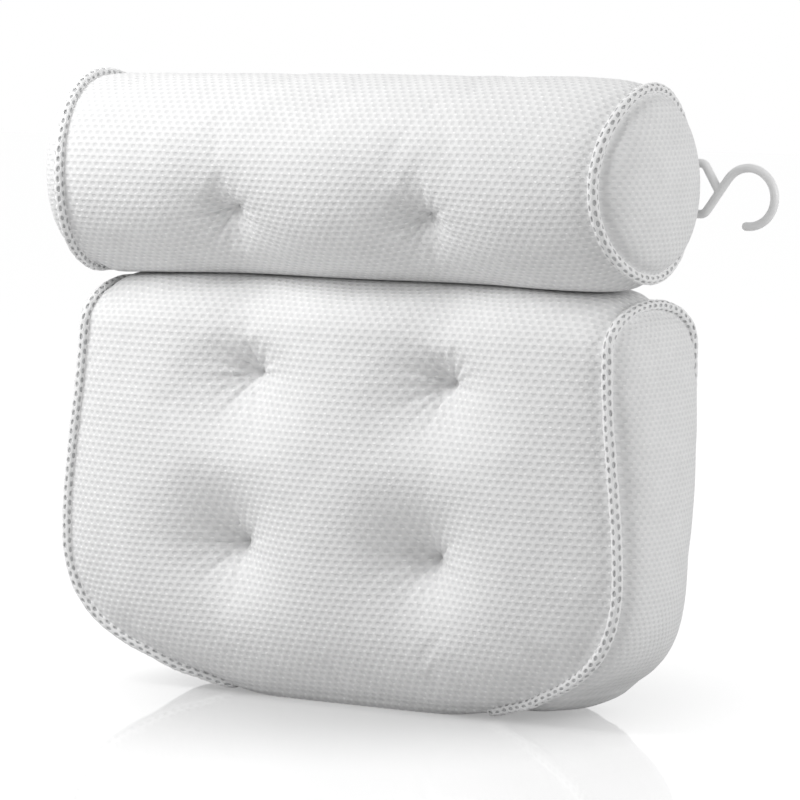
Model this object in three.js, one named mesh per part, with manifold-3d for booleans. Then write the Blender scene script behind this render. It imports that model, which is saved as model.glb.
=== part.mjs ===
// A bath pillow of white spacer mesh: a neck roll folds on top of a back pad, both are stuffed and
// tufted, six suction cups hold them to the bath and a plastic hook hangs them up to dry.
// Millimetres. +X runs along the roll, the bather's side faces -Y and +Z is up. The origin is on
// the surface that the pad stands on, under the middle of the pad.

import * as THREE from 'three';
import { mergeVertices } from 'three/addons/utils/BufferGeometryUtils.js';
import Module from 'manifold-3d';

const wasm = await Module();
wasm.setup();

// Layers and seams
const clearance = 0.3;
const fillClearance = 1;
const panelThickness = 3;
const bindingRadius = 3;
const bindingSides = 6;
const seamSpare = 0.3;
const flushSeamGap = 0.2;
const hemGap = 1.3;
const cutOverrun = 2;

// Neck roll
const rollRadius = 56;
const rollAxisY = -12.5;
const rollSeamX = 181;
const rollLeftSeamTaper = 0.5;
const rollRightSeamTaper = 7;
const rollFrontBow = 8;
const rollBackBow = 4;
const rollLeftDome = 28;
const rollRightDome = 23;
const rollTopRise = 4;
const rollRisePower = 3;
const rollTaperPower = 10;
const rollSides = 20;
const rollDomeRings = 3;
const rollTuftDepth = 19;

// The roll's sides start half a side past the back, so that one side faces straight back.
const rollSideStart = 0.5;

// Back pad, seen from the front: its widest place, what the top, the back and the corners lose of it,
// the height of its shoulders and the rise of the round top over them
const padHalfWidth = 182.5;
const padFrontTopTaper = 9.5;
const padFrontCornerReach = 96;
const padBackTaper = 23.4;
const padBackTopTaper = 7.5;
const padBackCornerReach = 26.4;
const padShoulderZ = 208;
const padMiddleArch = 32.4;
const padEndArch = 23;

// The lower corners: how far out and up the cloth is drawn from its end at the base, and how far up
// it is still drawn from where it stands upright
const padCornerOutShare = 0.6;
const padCornerUpShare = 0.23;
const padCornerHoldShare = 0.36;

// Back pad, seen from the side: how far ahead of the origin the front seam runs, and the back
const padFrontBaseReach = 22;
const padFrontReach = 50;
const padFrontTopReach = 45;
const padBackBaseReach = 38;
const padSeamLift = 3.4;
const padBaseFlatShare = 0.56;
const padEndBulge = 20;
const padEndBulgePower = 0.5;
const padCrown = 14;
const padBaseCrown = 4;
const padCrownSpan = 240;
const padCrownPower = 4;
const padRimPower = 6;

// Sewn tufts
const tuftX = 64;
const lowTuftZ = 89;
const highTuftZ = 186;
const tuftSpread = 20;
const padTuftY = -31;
const tieRadius = 1.3;
const tieHeadRadius = 3.2;
const tieHeadThickness = 1.2;
const tieSeatReach = 56;
const tieSides = 8;

// Suction cups and the eyelets that they turn in
const cupRadius = 28;
const cupReach = 14;
const cupHollowDepth = 6.5;
const cupRimThickness = 1.3;
const cupHubRadius = 8.5;
const cupHubHeight = 3;
const cupNeckRadius = 4;
const cupHeadRadius = 6.2;
const cupHeadHeight = 4;
const cupSides = 18;
const cupBellSteps = 3;
const eyeletFlangeRadius = 8.5;
const eyeletFlangeThickness = 1.3;
const eyeletBarrelRadius = 6;
const eyeletSides = 12;
const pocketSpare = 1;
const padCupInset = 76.5;
const padLowCupZ = 72;
const padHighCupZ = 158;
const rollCupInset = 81;

// Fold between the pad and the roll
const flapHalfWidth = 62;
const flapThickness = 2;
const flapLap = 16;
const foldDrop = 3.4;
const foldGap = 0.2;

// Hanging hook and its strap
const hookRodRadius = 2.5;
const hookBarInset = 9;
const hookDrop = 3.4;
const hookLoopHeight = 28;
const hookLegLength = 9;
const hookBend = 2;
const hookArcReach = 36.4;
const hookArcDrop = 3.9;
const hookArcRadius = 16;
const hookTipTurn = THREE.MathUtils.degToRad(-95);
const hookRidgeShare = 0.63;
const hookSides = 8;
const hookSteps = 34;
const hookRoofSteps = 18;
const strapThickness = 1.5;
const strapWidth = 21;
const strapLength = 38;

// Grid of the pad's skin: columns across, rows up, steps through its depth
const columnsToTuft = 3;
const columnsPastTuft = 6;
const halfColumns = columnsToTuft + columnsPastTuft;
const columns = 2 * halfColumns;
const cornerRows = 6;
const sideRows = 5;
const shoulderRows = 2;
const rows = cornerRows + sideRows + shoulderRows;
const depthSteps = 6;
const archBlendShare = 5 / 13;

// Two edges of a panel count as one straight line when the square of the sine between them is under this.
const straightSpread = 0.02;

// Sizes that follow from the ones above
const seamInset = panelThickness + clearance + seamSpare;
const fillInset = panelThickness + fillClearance;
const flatRadiusShare = Math.cos(Math.PI / rollSides);
const backPlaneY = rollAxisY + rollRadius * flatRadiusShare;
const padTopZ = padShoulderZ + padMiddleArch;
const rollAxisZ = padTopZ + clearance + rollRadius * flatRadiusShare;
const padFrontTopHalfWidth = padHalfWidth - padFrontTopTaper;
const padFrontBaseHalfWidth = padHalfWidth - padFrontCornerReach;
const padBackHalfWidth = padHalfWidth - padBackTaper;
const padBackTopHalfWidth = padHalfWidth - padBackTopTaper;
const padBackBaseHalfWidth = padBackHalfWidth - padBackCornerReach;
const padCupX = padHalfWidth - padCupInset;
const rollCupX = rollSeamX - rollCupInset;
const foldZ = padTopZ - foldDrop;
const tuftAngle = Math.PI + 2 * Math.PI / rollSides;
const foldY = backPlaneY + clearance + flapThickness;
const eyeletBoreRadius = cupNeckRadius + clearance;
const eyeletHoleRadius = eyeletBarrelRadius + clearance;
const strapInnerRadius = hookRodRadius + clearance;
const strapOuterRadius = strapInnerRadius + strapThickness;
const hookBarY = backPlaneY + clearance + strapOuterRadius;
const hookMiddleZ = rollAxisZ - hookDrop;
const hookBarX = rollSeamX - hookBarInset;
const hookArcX = hookBarX + hookArcReach;

const white = { color: 0xf4f4f2, roughness: 0.85, metalness: 0 };
const materials = {
  mesh: white,
  binding: { ...white, color: 0xeeeeec },
  fill: { ...white, color: 0xe8ecef, roughness: 0.95 },
  thread: { ...white, color: 0xe6e6e4, roughness: 0.8 },
  strap: { ...white, color: 0xf0f0ee, roughness: 0.75 },
  plastic: { ...white, color: 0xf6f6f6, roughness: 0.35 },
  cup: { ...white, color: 0xdfe6ea, roughness: 0.2 },
};

const mix = (from, to, share) => from + (to - from) * share;
const bell = (distanceSquared) => Math.exp(-distanceSquared / (2 * tuftSpread ** 2));

// Solids and cuts

function asManifold(geometry) {
  const bare = geometry.clone();
  bare.deleteAttribute('normal');
  bare.deleteAttribute('uv');
  const welded = mergeVertices(bare);
  return new wasm.Manifold(new wasm.Mesh({
    numProp: 3,
    vertProperties: Float32Array.from(welded.attributes.position.array),
    triVerts: Uint32Array.from(welded.index.array),
  }));
}

function asGeometry(manifold) {
  const { vertProperties, triVerts } = manifold.getMesh();
  const geometry = new THREE.BufferGeometry();
  geometry.setAttribute('position', new THREE.BufferAttribute(vertProperties, 3));
  geometry.setIndex(new THREE.BufferAttribute(triVerts, 1));
  return geometry;
}

function cut(geometry, cutters) {
  const start = asManifold(geometry);
  return asGeometry(cutters.reduce((solid, cutter) => solid.subtract(asManifold(cutter)), start));
}

function join(geometries) {
  const [first, ...rest] = geometries.map(asManifold);
  return asGeometry(rest.reduce((solid, next) => solid.add(next), first));
}

function closedSurface(points, faces) {
  const geometry = new THREE.BufferGeometry();
  const numbers = points.flatMap((point) => point.toArray());
  geometry.setAttribute('position', new THREE.Float32BufferAttribute(numbers, 3));
  geometry.setIndex(faces.flat());
  return geometry;
}

function spun(profile, sides) {
  return new THREE.LatheGeometry(profile.map(([radius, y]) => new THREE.Vector2(radius, y)), sides);
}

function rod(radius, from, to, sides) {
  const span = to.clone().sub(from);
  const geometry = new THREE.CylinderGeometry(radius, radius, span.length(), sides);
  return along(geometry, from.clone().addScaledVector(span, 0.5), span);
}

function along(geometry, place, direction) {
  const up = new THREE.Vector3(0, 1, 0);
  const turn = new THREE.Quaternion().setFromUnitVectors(up, direction.clone().normalize());
  return geometry.applyQuaternion(turn).translate(place.x, place.y, place.z);
}

// Skins: the outer surface of a stuffed body, as points and as triangles that name their panel

function newSkin() {
  return { points: [], numbers: new Map(), faces: [] };
}

function corner(skin, key, place) {
  const name = key.join();
  if (!skin.numbers.has(name)) {
    skin.numbers.set(name, skin.points.length);
    skin.points.push(place(...key));
  }
  return skin.numbers.get(name);
}

function addGrid(skin, panel, across, up, keyAt, place) {
  for (let a = 0; a < across; a += 1) {
    for (let b = 0; b < up; b += 1) {
      const ring = [[a, b], [a + 1, b], [a + 1, b + 1], [a, b + 1]];
      const [p, q, r, s] = ring.map(([m, n]) => corner(skin, keyAt(m, n), place));
      const leansIn = a < across / 2;
      addFace(skin, panel, leansIn ? [p, q, r] : [p, q, s]);
      addFace(skin, panel, leansIn ? [p, r, s] : [q, r, s]);
    }
  }
}

function addFace(skin, panel, face) {
  if (new Set(face).size === 3) skin.faces.push({ panel, face });
}

function facesOf(skin, panel) {
  return skin.faces.filter((entry) => entry.panel === panel).map(({ face }) => face);
}

function faceNormal(points, [a, b, c]) {
  const side = points[b].clone().sub(points[a]);
  return side.cross(points[c].clone().sub(points[a])).normalize();
}

function cornerAngle(points, face, index) {
  const [here, next, last] = [0, 1, 2].map((step) => points[face[(index + step) % 3]]);
  return next.clone().sub(here).angleTo(last.clone().sub(here));
}

// Each point moves in along its mean normal, until it is this deep under every face that it joins.
function sunk(points, faces, depth) {
  const normals = faces.map((face) => faceNormal(points, face));
  const means = points.map(() => new THREE.Vector3());
  faces.forEach((face, f) => face.forEach((v, index) => {
    means[v].addScaledVector(normals[f], cornerAngle(points, face, index));
  }));
  means.forEach((mean) => mean.normalize());
  const tilts = points.map(() => 1);
  faces.forEach((face, f) => face.forEach((v) => {
    tilts[v] = Math.min(tilts[v], means[v].dot(normals[f]));
  }));
  return points.map((point, v) => point.clone().addScaledVector(means[v], -depth / tilts[v]));
}

// The edges where a panel ends, with the panel that lies across each one
function panelEdges(skin, panel) {
  const owners = new Map();
  skin.faces.forEach((entry) => entry.face.forEach((v, index) => {
    owners.set([v, entry.face[(index + 1) % 3]].join(), entry.panel);
  }));
  const edges = facesOf(skin, panel).flatMap((face) => face.map((from, index) => {
    const to = face[(index + 1) % 3];
    return { from, to, face, across: owners.get([to, from].join()) };
  }));
  return edges.filter(({ across }) => across !== panel);
}

function inwardStep(points, { from, to, face }) {
  const run = points[to].clone().sub(points[from]);
  return faceNormal(points, face).cross(run).normalize();
}

// The step that keeps both insets where two edges of a panel meet
function meetingStep(first, second) {
  const overlap = first.step.dot(second.step);
  const spread = 1 - overlap ** 2;
  if (spread < straightSpread) {
    return first.step.clone().multiplyScalar(Math.max(first.inset, second.inset));
  }
  const onFirst = (first.inset - overlap * second.inset) / spread;
  const onSecond = (second.inset - overlap * first.inset) / spread;
  return first.step.clone().multiplyScalar(onFirst).addScaledVector(second.step, onSecond);
}

// A panel is one thickness of cloth whose edges stop short of its seams.
function panelSolid(skin, panel, insets) {
  const faces = facesOf(skin, panel);
  const edges = panelEdges(skin, panel);
  const steps = new Map();
  edges.forEach((edge) => {
    const step = { step: inwardStep(skin.points, edge), inset: insets[edge.across] };
    [edge.from, edge.to].forEach((v) => steps.set(v, [...(steps.get(v) ?? []), step]));
  });
  const outer = skin.points.map((point, v) => {
    if (!steps.has(v)) return point.clone();
    return point.clone().add(meetingStep(...steps.get(v)));
  });
  const inner = sunk(outer, faces, panelThickness);
  const count = outer.length;
  const under = faces.map(([a, b, c]) => [a + count, c + count, b + count]);
  const rims = edges.flatMap(({ from, to }) => [
    [to, from, from + count],
    [to, from + count, to + count],
  ]);
  return closedSurface([...outer, ...inner], [...faces, ...under, ...rims]);
}

function fillSolid(skin) {
  const faces = skin.faces.map(({ face }) => face);
  return closedSurface(sunk(skin.points, faces, fillInset), faces);
}

// The closed line of points round one panel
function seamLoop(skin, panel) {
  const next = new Map(panelEdges(skin, panel).map(({ from, to }) => [from, to]));
  const start = next.keys().next().value;
  const loop = [start];
  while (next.get(loop.at(-1)) !== start) loop.push(next.get(loop.at(-1)));
  return loop.map((v) => skin.points[v]);
}

// A round cord of binding along a closed line, with one ring of points at each of its corners
function bindingSolid(line, radius) {
  const middle = line.reduce((sum, point) => sum.add(point), new THREE.Vector3());
  middle.divideScalar(line.length);
  const points = [];
  const faces = [];
  line.forEach((point, index) => {
    const ahead = line[(index + 1) % line.length];
    const behind = line.at(index - 1);
    const run = ahead.clone().sub(behind).normalize();
    const side = middle.clone().sub(point).cross(run).normalize();
    const lift = run.clone().cross(side);
    for (let step = 0; step < bindingSides; step += 1) {
      const turn = 2 * Math.PI * step / bindingSides;
      const arm = side.clone().multiplyScalar(Math.cos(turn)).addScaledVector(lift, Math.sin(turn));
      points.push(point.clone().addScaledVector(arm, radius));
      const ring = index * bindingSides;
      const nextRing = ((index + 1) % line.length) * bindingSides;
      const after = (step + 1) % bindingSides;
      faces.push([ring + step, ring + after, nextRing + after]);
      faces.push([ring + step, nextRing + after, nextRing + step]);
    }
  });
  return closedSurface(points, faces);
}

// Back pad

function sideShare(z) {
  return THREE.MathUtils.clamp((z - lowTuftZ) / (padShoulderZ - lowTuftZ), 0, 1);
}

// The lower corner is a Bezier curve from the base's slope to upright.
function cornerBend(row, drawn, held) {
  const share = Math.min(1, row / cornerRows);
  return 3 * (1 - share) ** 2 * share * drawn + 3 * (1 - share) * share ** 2 * held + share ** 3;
}

function cornerOut(row) {
  return cornerBend(row, padCornerOutShare, 1);
}

function cornerUp(row) {
  return cornerBend(row, padCornerUpShare, padCornerHoldShare);
}

function rowHeight(row) {
  const side = row - cornerRows;
  if (side <= 0) return mix(padSeamLift, lowTuftZ, cornerUp(row));
  if (side <= sideRows) return mix(lowTuftZ, highTuftZ, side / sideRows);
  return mix(highTuftZ, padShoulderZ, (side - sideRows) / shoulderRows);
}

function frontHalfWidth(row, z) {
  if (row < cornerRows) return mix(padFrontBaseHalfWidth, padHalfWidth, cornerOut(row));
  return mix(padHalfWidth, padFrontTopHalfWidth, THREE.MathUtils.smoothstep(sideShare(z), 0, 1));
}

function backHalfWidth(row, z) {
  if (row < cornerRows) return mix(padBackBaseHalfWidth, padBackHalfWidth, cornerOut(row));
  return mix(padBackHalfWidth, padBackTopHalfWidth, Math.sqrt(sideShare(z)));
}

function frontSeamY(row, z) {
  if (row < cornerRows) return -mix(padFrontBaseReach, padFrontReach, cornerOut(row));
  return -mix(padFrontReach, padFrontTopReach, sideShare(z) ** 2);
}

function backSeamY(row) {
  return row === 0 ? padBackBaseReach : backPlaneY;
}

function padColumnX(column, halfWidth) {
  const side = Math.abs(column - halfColumns);
  const tuft = tuftX * Math.min(1, halfWidth / padFrontTopHalfWidth);
  const past = (side - columnsToTuft) / columnsPastTuft;
  const x = side <= columnsToTuft ? tuft * side / columnsToTuft : mix(tuft, halfWidth, past);
  return x * Math.sign(column - halfColumns);
}

function padFaceY(x, z, seamY, share) {
  const rise = mix(padBaseCrown, padCrown, Math.sin(Math.PI * z / padCrownSpan));
  const crowned = seamY - rise * (1 - share ** padCrownPower);
  const pull = [lowTuftZ, highTuftZ].reduce((sum, tuftZ) => {
    return sum + bell((Math.abs(x) - tuftX) ** 2 + (z - tuftZ) ** 2);
  }, 0);
  return mix(crowned, Math.max(crowned, padTuftY), Math.min(1, pull));
}

// The middle of the base is flat, and past it the base curves up to the end seams.
function baseRim(side) {
  return Math.max(0, (side - padBaseFlatShare) / (1 - padBaseFlatShare)) ** 2;
}

// One point of the pad's skin: column across, row up, step from front to back
function padPoint(column, row, step) {
  const turn = Math.PI * step / depthSteps;
  const side = Math.abs(column / halfColumns - 1);
  const atEnd = side === 1;
  const blend = Math.max(0, 1 - (1 - row / rows) / archBlendShare) ** 2;
  const depth = mix(step / depthSteps, (1 - Math.cos(turn)) / 2, blend);
  const arch = atEnd ? padEndArch : mix(padMiddleArch, padEndArch, side ** padRimPower);
  const baseRow = rowHeight(row);
  const drop = padSeamLift * (1 - baseRim(side)) * Math.max(0, 1 - row / cornerRows) ** 2;
  const z = baseRow - drop + arch * Math.sin(turn) * blend;
  const halfWidth = mix(frontHalfWidth(row, z), backHalfWidth(row, z), depth);
  const x = padColumnX(column, halfWidth);
  const faceY = padFaceY(x, baseRow, frontSeamY(row, baseRow), Math.abs(x) / halfWidth);
  const y = mix(faceY, backSeamY(row), depth);
  const swell = Math.max(0, Math.sin(turn) * Math.sin(Math.PI * row / rows));
  const bulge = atEnd ? padEndBulge * swell ** padEndBulgePower : 0;
  return new THREE.Vector3(x + bulge * Math.sign(x), y, z);
}

function padSkin() {
  const skin = newSkin();
  const place = padPoint;
  const flip = (count, index) => count - index;
  addGrid(skin, 'front', columns, rows, (a, b) => [a, b, 0], place);
  addGrid(skin, 'front', columns, depthSteps, (a, b) => [a, rows, b], place);
  addGrid(skin, 'base', columns, depthSteps, (a, b) => [a, 0, flip(depthSteps, b)], place);
  addGrid(skin, 'back', columns, rows, (a, b) => [flip(columns, a), b, depthSteps], place);
  addGrid(skin, 'left', depthSteps, rows, (a, b) => [0, b, flip(depthSteps, a)], place);
  addGrid(skin, 'right', depthSteps, rows, (a, b) => [columns, b, a], place);
  return skin;
}

function padTies() {
  const places = [lowTuftZ, highTuftZ].flatMap((z) => [[-tuftX, z], [tuftX, z]]);
  return places.map(([x, z]) => ({
    from: new THREE.Vector3(x, padTuftY, z),
    to: new THREE.Vector3(x, backPlaneY, z),
  }));
}

function padCups() {
  const places = [padHighCupZ, padLowCupZ].flatMap((z) => [[-padCupX, z], [padCupX, z]]);
  return places.map(([x, z]) => new THREE.Vector3(x, backPlaneY, z));
}

// Neck roll

function rollRadiusAt(x) {
  const seamRadius = rollRadius - (x < 0 ? rollLeftSeamTaper : rollRightSeamTaper);
  return mix(rollRadius, seamRadius, Math.min(1, Math.abs(x) / rollSeamX) ** rollTaperPower);
}

function rollSeamXAt(turn) {
  const facing = Math.cos(turn);
  return rollSeamX - (facing < 0 ? rollFrontBow : rollBackBow) * facing ** 2;
}

function rollColumnX(column, seamX) {
  const side = Math.abs(column - halfColumns);
  const past = (side - columnsToTuft) / columnsPastTuft;
  const x = side <= columnsToTuft ? tuftX * side / columnsToTuft : mix(tuftX, seamX, past);
  return x * Math.sign(column - halfColumns);
}

// The roll's top climbs from its left end to its right one.
function rollRiseAt(x, turn) {
  const share = (x + rollSeamX) / (2 * rollSeamX);
  return rollTopRise * share * Math.max(0, Math.sin(turn)) ** rollRisePower;
}

// One point of the roll's skin: past the seams at either end, the columns close in on the axis.
function rollPoint(column, sideNumber) {
  const turn = (sideNumber + rollSideStart) * 2 * Math.PI / rollSides;
  const past = Math.max(0, -column, column - columns);
  const within = THREE.MathUtils.clamp(column, 0, columns);
  const seamX = rollSeamXAt(turn);
  const x = rollColumnX(within, seamX);
  const round = rollRadiusAt(x * rollSeamX / seamX);
  const arc = (turn - tuftAngle) * rollRadius;
  const pull = bell((Math.abs(x) - tuftX) ** 2 + arc ** 2);
  const radius = past > 0 ? round : round - rollTuftDepth * pull;
  const tipTurn = Math.PI / 2 * past / rollDomeRings;
  const share = Math.cos(tipTurn);
  const dome = x < 0 ? rollLeftDome : rollRightDome;
  const tip = (rollSeamX + dome - (rollFrontBow + rollBackBow) / 2) * Math.sign(x);
  return new THREE.Vector3(
    mix(x, tip, Math.sin(tipTurn)),
    rollAxisY + radius * share * Math.cos(turn),
    rollAxisZ + (radius * Math.sin(turn) + rollRiseAt(x, turn)) * share,
  );
}

function rollKey(column, sideNumber) {
  const atTip = column === -rollDomeRings || column === columns + rollDomeRings;
  return [column, atTip ? 0 : sideNumber % rollSides];
}

function rollSkin() {
  const skin = newSkin();
  const keyFrom = (start) => (a, b) => rollKey(start + a, rollSides - b);
  addGrid(skin, 'cover', columns, rollSides, keyFrom(0), rollPoint);
  addGrid(skin, 'left', rollDomeRings, rollSides, keyFrom(-rollDomeRings), rollPoint);
  addGrid(skin, 'right', rollDomeRings, rollSides, keyFrom(columns), rollPoint);
  return skin;
}

function rollTies() {
  const toFace = new THREE.Vector3(0, Math.cos(tuftAngle), Math.sin(tuftAngle));
  const bottomPull = Math.exp(-((rollRadius * Math.PI / rollSides) ** 2) / (2 * tuftSpread ** 2));
  const faceRadius = (rollRadius - rollTuftDepth * bottomPull) * flatRadiusShare;
  return [-tuftX, tuftX].map((x) => {
    const axis = new THREE.Vector3(x, rollAxisY, rollAxisZ);
    return {
      from: axis.clone().addScaledVector(toFace, faceRadius),
      to: axis.clone().addScaledVector(toFace, -rollRadius * flatRadiusShare),
    };
  });
}

function rollCups() {
  return [-rollCupX, rollCupX].map((x) => new THREE.Vector3(x, backPlaneY, rollAxisZ));
}

// Tufting ties: a thread through the whole body, with a bar of stitches at each end

function tieHeadPlaces({ from, to }) {
  const out = to.clone().sub(from).normalize();
  const seat = clearance + tieHeadThickness / 2;
  return [
    from.clone().addScaledVector(out, -seat),
    to.clone().addScaledVector(out, seat),
  ];
}

function tieSolid(tie) {
  const [first, last] = tieHeadPlaces(tie);
  const half = tie.to.clone().sub(tie.from).setLength(tieHeadThickness / 2);
  const heads = [first, last].map((place) => {
    return rod(tieHeadRadius, place.clone().sub(half), place.clone().add(half), tieSides);
  });
  return join([rod(tieRadius, first, last, tieSides), ...heads]);
}

function tieCuts(tie) {
  const out = tie.to.clone().sub(tie.from).normalize();
  const start = tie.from.clone().addScaledVector(out, -cutOverrun);
  const end = tie.to.clone().addScaledVector(out, cutOverrun);
  const seatEnd = tie.from.clone().addScaledVector(out, -tieSeatReach);
  return [
    rod(tieRadius + clearance, start, end, tieSides),
    rod(tieHeadRadius + clearance, seatEnd, tie.from, tieSides),
  ];
}

// Suction cups and eyelets, on the line that runs out of the back panel along +Y

function eyeletSolid(place) {
  const inner = -panelThickness - clearance;
  const profile = [
    [eyeletBoreRadius, inner - eyeletFlangeThickness],
    [eyeletFlangeRadius, inner - eyeletFlangeThickness],
    [eyeletFlangeRadius, inner],
    [eyeletBarrelRadius, inner],
    [eyeletBarrelRadius, clearance],
    [eyeletFlangeRadius, clearance],
    [eyeletFlangeRadius, clearance + eyeletFlangeThickness],
    [eyeletBoreRadius, clearance + eyeletFlangeThickness],
    [eyeletBoreRadius, inner - eyeletFlangeThickness],
  ];
  return spun(profile, eyeletSides).translate(place.x, place.y, place.z);
}

function cupSolid(place) {
  const shoulder = 2 * clearance + eyeletFlangeThickness;
  const headTop = -panelThickness - 2 * clearance - eyeletFlangeThickness;
  const hubTop = shoulder + cupHubHeight;
  const profile = [
    [0, headTop - cupHeadHeight],
    [cupHeadRadius / 2, headTop - cupHeadHeight],
    [cupHeadRadius, headTop],
    [cupNeckRadius, headTop],
    [cupNeckRadius, shoulder],
    [cupHubRadius, shoulder],
    [cupHubRadius, hubTop],
  ];
  for (let step = 1; step <= cupBellSteps; step += 1) {
    const share = step / cupBellSteps;
    const y = mix(hubTop, cupReach - cupRimThickness, share ** 2);
    profile.push([mix(cupHubRadius, cupRadius, share), y]);
  }
  profile.push([cupRadius, cupReach]);
  for (let step = 0; step < cupBellSteps; step += 1) {
    const share = 1 - step / cupBellSteps;
    const y = cupReach - cupHollowDepth * (1 - share ** 2);
    profile.push([(cupRadius - cupRimThickness) * share, y]);
  }
  profile.push([0, cupReach - cupHollowDepth]);
  return spun(profile, cupSides).translate(place.x, place.y, place.z);
}

function eyeletHole(place) {
  const start = place.clone().add(new THREE.Vector3(0, -fillInset, 0));
  const end = place.clone().add(new THREE.Vector3(0, cutOverrun, 0));
  return rod(eyeletHoleRadius, start, end, eyeletSides);
}

function cupPocket(place) {
  const depth = panelThickness + 2 * clearance + eyeletFlangeThickness + cupHeadHeight;
  const start = place.clone().add(new THREE.Vector3(0, -depth - pocketSpare, 0));
  const end = place.clone().add(new THREE.Vector3(0, cutOverrun, 0));
  return rod(eyeletFlangeRadius + pocketSpare, start, end, eyeletSides);
}

// Fold: a flap sewn to each body, meeting at the fold line

function flapSolid(lowZ, highZ) {
  const flap = new THREE.BoxGeometry(2 * flapHalfWidth, flapThickness, highZ - lowZ);
  return flap.translate(0, foldY - flapThickness / 2, (lowZ + highZ) / 2);
}

// Hanging hook: one bent rod in a plane behind the roll, and the strap that holds its bar

function hookPoint(x, z) {
  return new THREE.Vector3(x, hookBarY, z);
}

class HookArc extends THREE.Curve {
  constructor(centre, startTurn, endTurn) {
    super();
    this.centre = centre;
    this.startTurn = startTurn;
    this.endTurn = endTurn;
  }

  getPoint(share, target = new THREE.Vector3()) {
    const turn = mix(this.startTurn, this.endTurn, share);
    const x = this.centre.x + hookArcRadius * Math.cos(turn);
    return target.copy(hookPoint(x, this.centre.z + hookArcRadius * Math.sin(turn)));
  }
}

// Straight runs between the points, with a rounded bend at each one between the ends
function bentWire(points) {
  const path = new THREE.CurvePath();
  let from = points[0];
  points.slice(1, -1).forEach((bend, index) => {
    const into = bend.clone().sub(points[index]).setLength(hookBend);
    const out = points[index + 2].clone().sub(bend).setLength(hookBend);
    const start = bend.clone().sub(into);
    const end = bend.clone().add(out);
    path.add(new THREE.LineCurve3(from, start));
    path.add(new THREE.QuadraticBezierCurve3(start, bend, end));
    from = end;
  });
  path.add(new THREE.LineCurve3(from, points.at(-1)));
  return path;
}

function sweptRod(path, steps) {
  const section = new THREE.Shape();
  for (let side = 0; side < hookSides; side += 1) {
    const turn = 2 * Math.PI * side / hookSides;
    const x = hookRodRadius * Math.cos(turn);
    const y = hookRodRadius * Math.sin(turn);
    if (side === 0) section.moveTo(x, y);
    else section.lineTo(x, y);
  }
  section.closePath();
  return new THREE.ExtrudeGeometry(section, { steps, extrudePath: path, bevelEnabled: false });
}

function hookSolid() {
  const lowZ = hookMiddleZ - hookLoopHeight / 2;
  const highZ = hookMiddleZ + hookLoopHeight / 2;
  const legX = hookBarX + hookLegLength;
  const foot = hookPoint(legX, lowZ);
  const centre = hookPoint(hookArcX, hookMiddleZ - hookArcDrop);
  const reach = Math.hypot(centre.x - foot.x, centre.z - foot.z);
  const aim = Math.atan2(centre.z - foot.z, centre.x - foot.x) + Math.asin(hookArcRadius / reach);
  const shankEnd = foot.clone().add(hookPoint(Math.cos(aim), Math.sin(aim))
    .sub(hookPoint(0, 0)).multiplyScalar(Math.sqrt(reach ** 2 - hookArcRadius ** 2)));
  const ridge = foot.clone().lerp(shankEnd, hookRidgeShare);
  const shank = bentWire([hookPoint(hookBarX, hookMiddleZ), hookPoint(hookBarX, lowZ), foot, shankEnd]);
  shank.add(new HookArc(centre, aim + Math.PI / 2, hookTipTurn));
  const roof = bentWire([
    hookPoint(hookBarX, hookMiddleZ - hookRodRadius),
    hookPoint(hookBarX, highZ),
    hookPoint(legX, highZ),
    ridge,
  ]);
  return join([sweptRod(shank, hookSteps), sweptRod(roof, hookRoofSteps)]);
}

// The strap lies on the roll's back and folds round the hook's bar.
function strapSolid() {
  const low = backPlaneY + clearance;
  const layersTop = low + 2 * strapThickness + clearance;
  const meet = Math.PI + Math.asin((hookBarY - layersTop) / strapOuterRadius);
  const outline = new THREE.Shape();
  outline.moveTo(hookBarX - strapLength, low);
  outline.lineTo(hookBarX, low);
  outline.absarc(hookBarX, hookBarY, strapOuterRadius, -Math.PI / 2, meet, false);
  outline.lineTo(hookBarX - strapLength, layersTop);
  outline.closePath();
  const bore = new THREE.Path();
  bore.absarc(hookBarX, hookBarY, strapInnerRadius, 0, 2 * Math.PI, true);
  outline.holes.push(bore);
  const settings = { depth: strapWidth, bevelEnabled: false, curveSegments: hookSides };
  const strap = new THREE.ExtrudeGeometry(outline, settings);
  return strap.translate(0, 0, hookMiddleZ - strapWidth / 2);
}

// Assembly

const pillow = new THREE.Group();

function add(name, geometry, material) {
  const mesh = new THREE.Mesh(geometry, new THREE.MeshStandardMaterial(material));
  mesh.name = name;
  pillow.add(mesh);
}

function addEnds(body, skin, insets) {
  ['left', 'right'].forEach((side) => {
    const binding = bindingSolid(seamLoop(skin, side), bindingRadius);
    add(`${body}_end_panel_${side}`, panelSolid(skin, side, insets), materials.mesh);
    add(`${body}_edge_binding_${side}`, binding, materials.binding);
  });
}

function addPad() {
  const skin = padSkin();
  const ties = padTies();
  const cups = padCups();
  const tieHoles = ties.flatMap(tieCuts);
  const sides = { left: seamInset, right: seamInset };
  const front = panelSolid(skin, 'front', { ...sides, base: seamInset, back: flushSeamGap });
  const back = panelSolid(skin, 'back', { ...sides, base: seamInset, front: hemGap });
  const base = panelSolid(skin, 'base', { ...sides, front: flushSeamGap, back: flushSeamGap });
  add('pad_front_panel', cut(front, tieHoles), materials.mesh);
  add('pad_back_panel', cut(back, [...tieHoles, ...cups.map(eyeletHole)]), materials.mesh);
  add('pad_base_panel', base, materials.mesh);
  add('pad_fill', cut(fillSolid(skin), [...tieHoles, ...cups.map(cupPocket)]), materials.fill);
  addEnds('pad', skin, { front: seamInset, base: seamInset, back: seamInset });
  ties.forEach((tie, index) => add(`pad_tuft_tie_${index + 1}`, tieSolid(tie), materials.thread));
  addCups('pad', cups);
}

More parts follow.
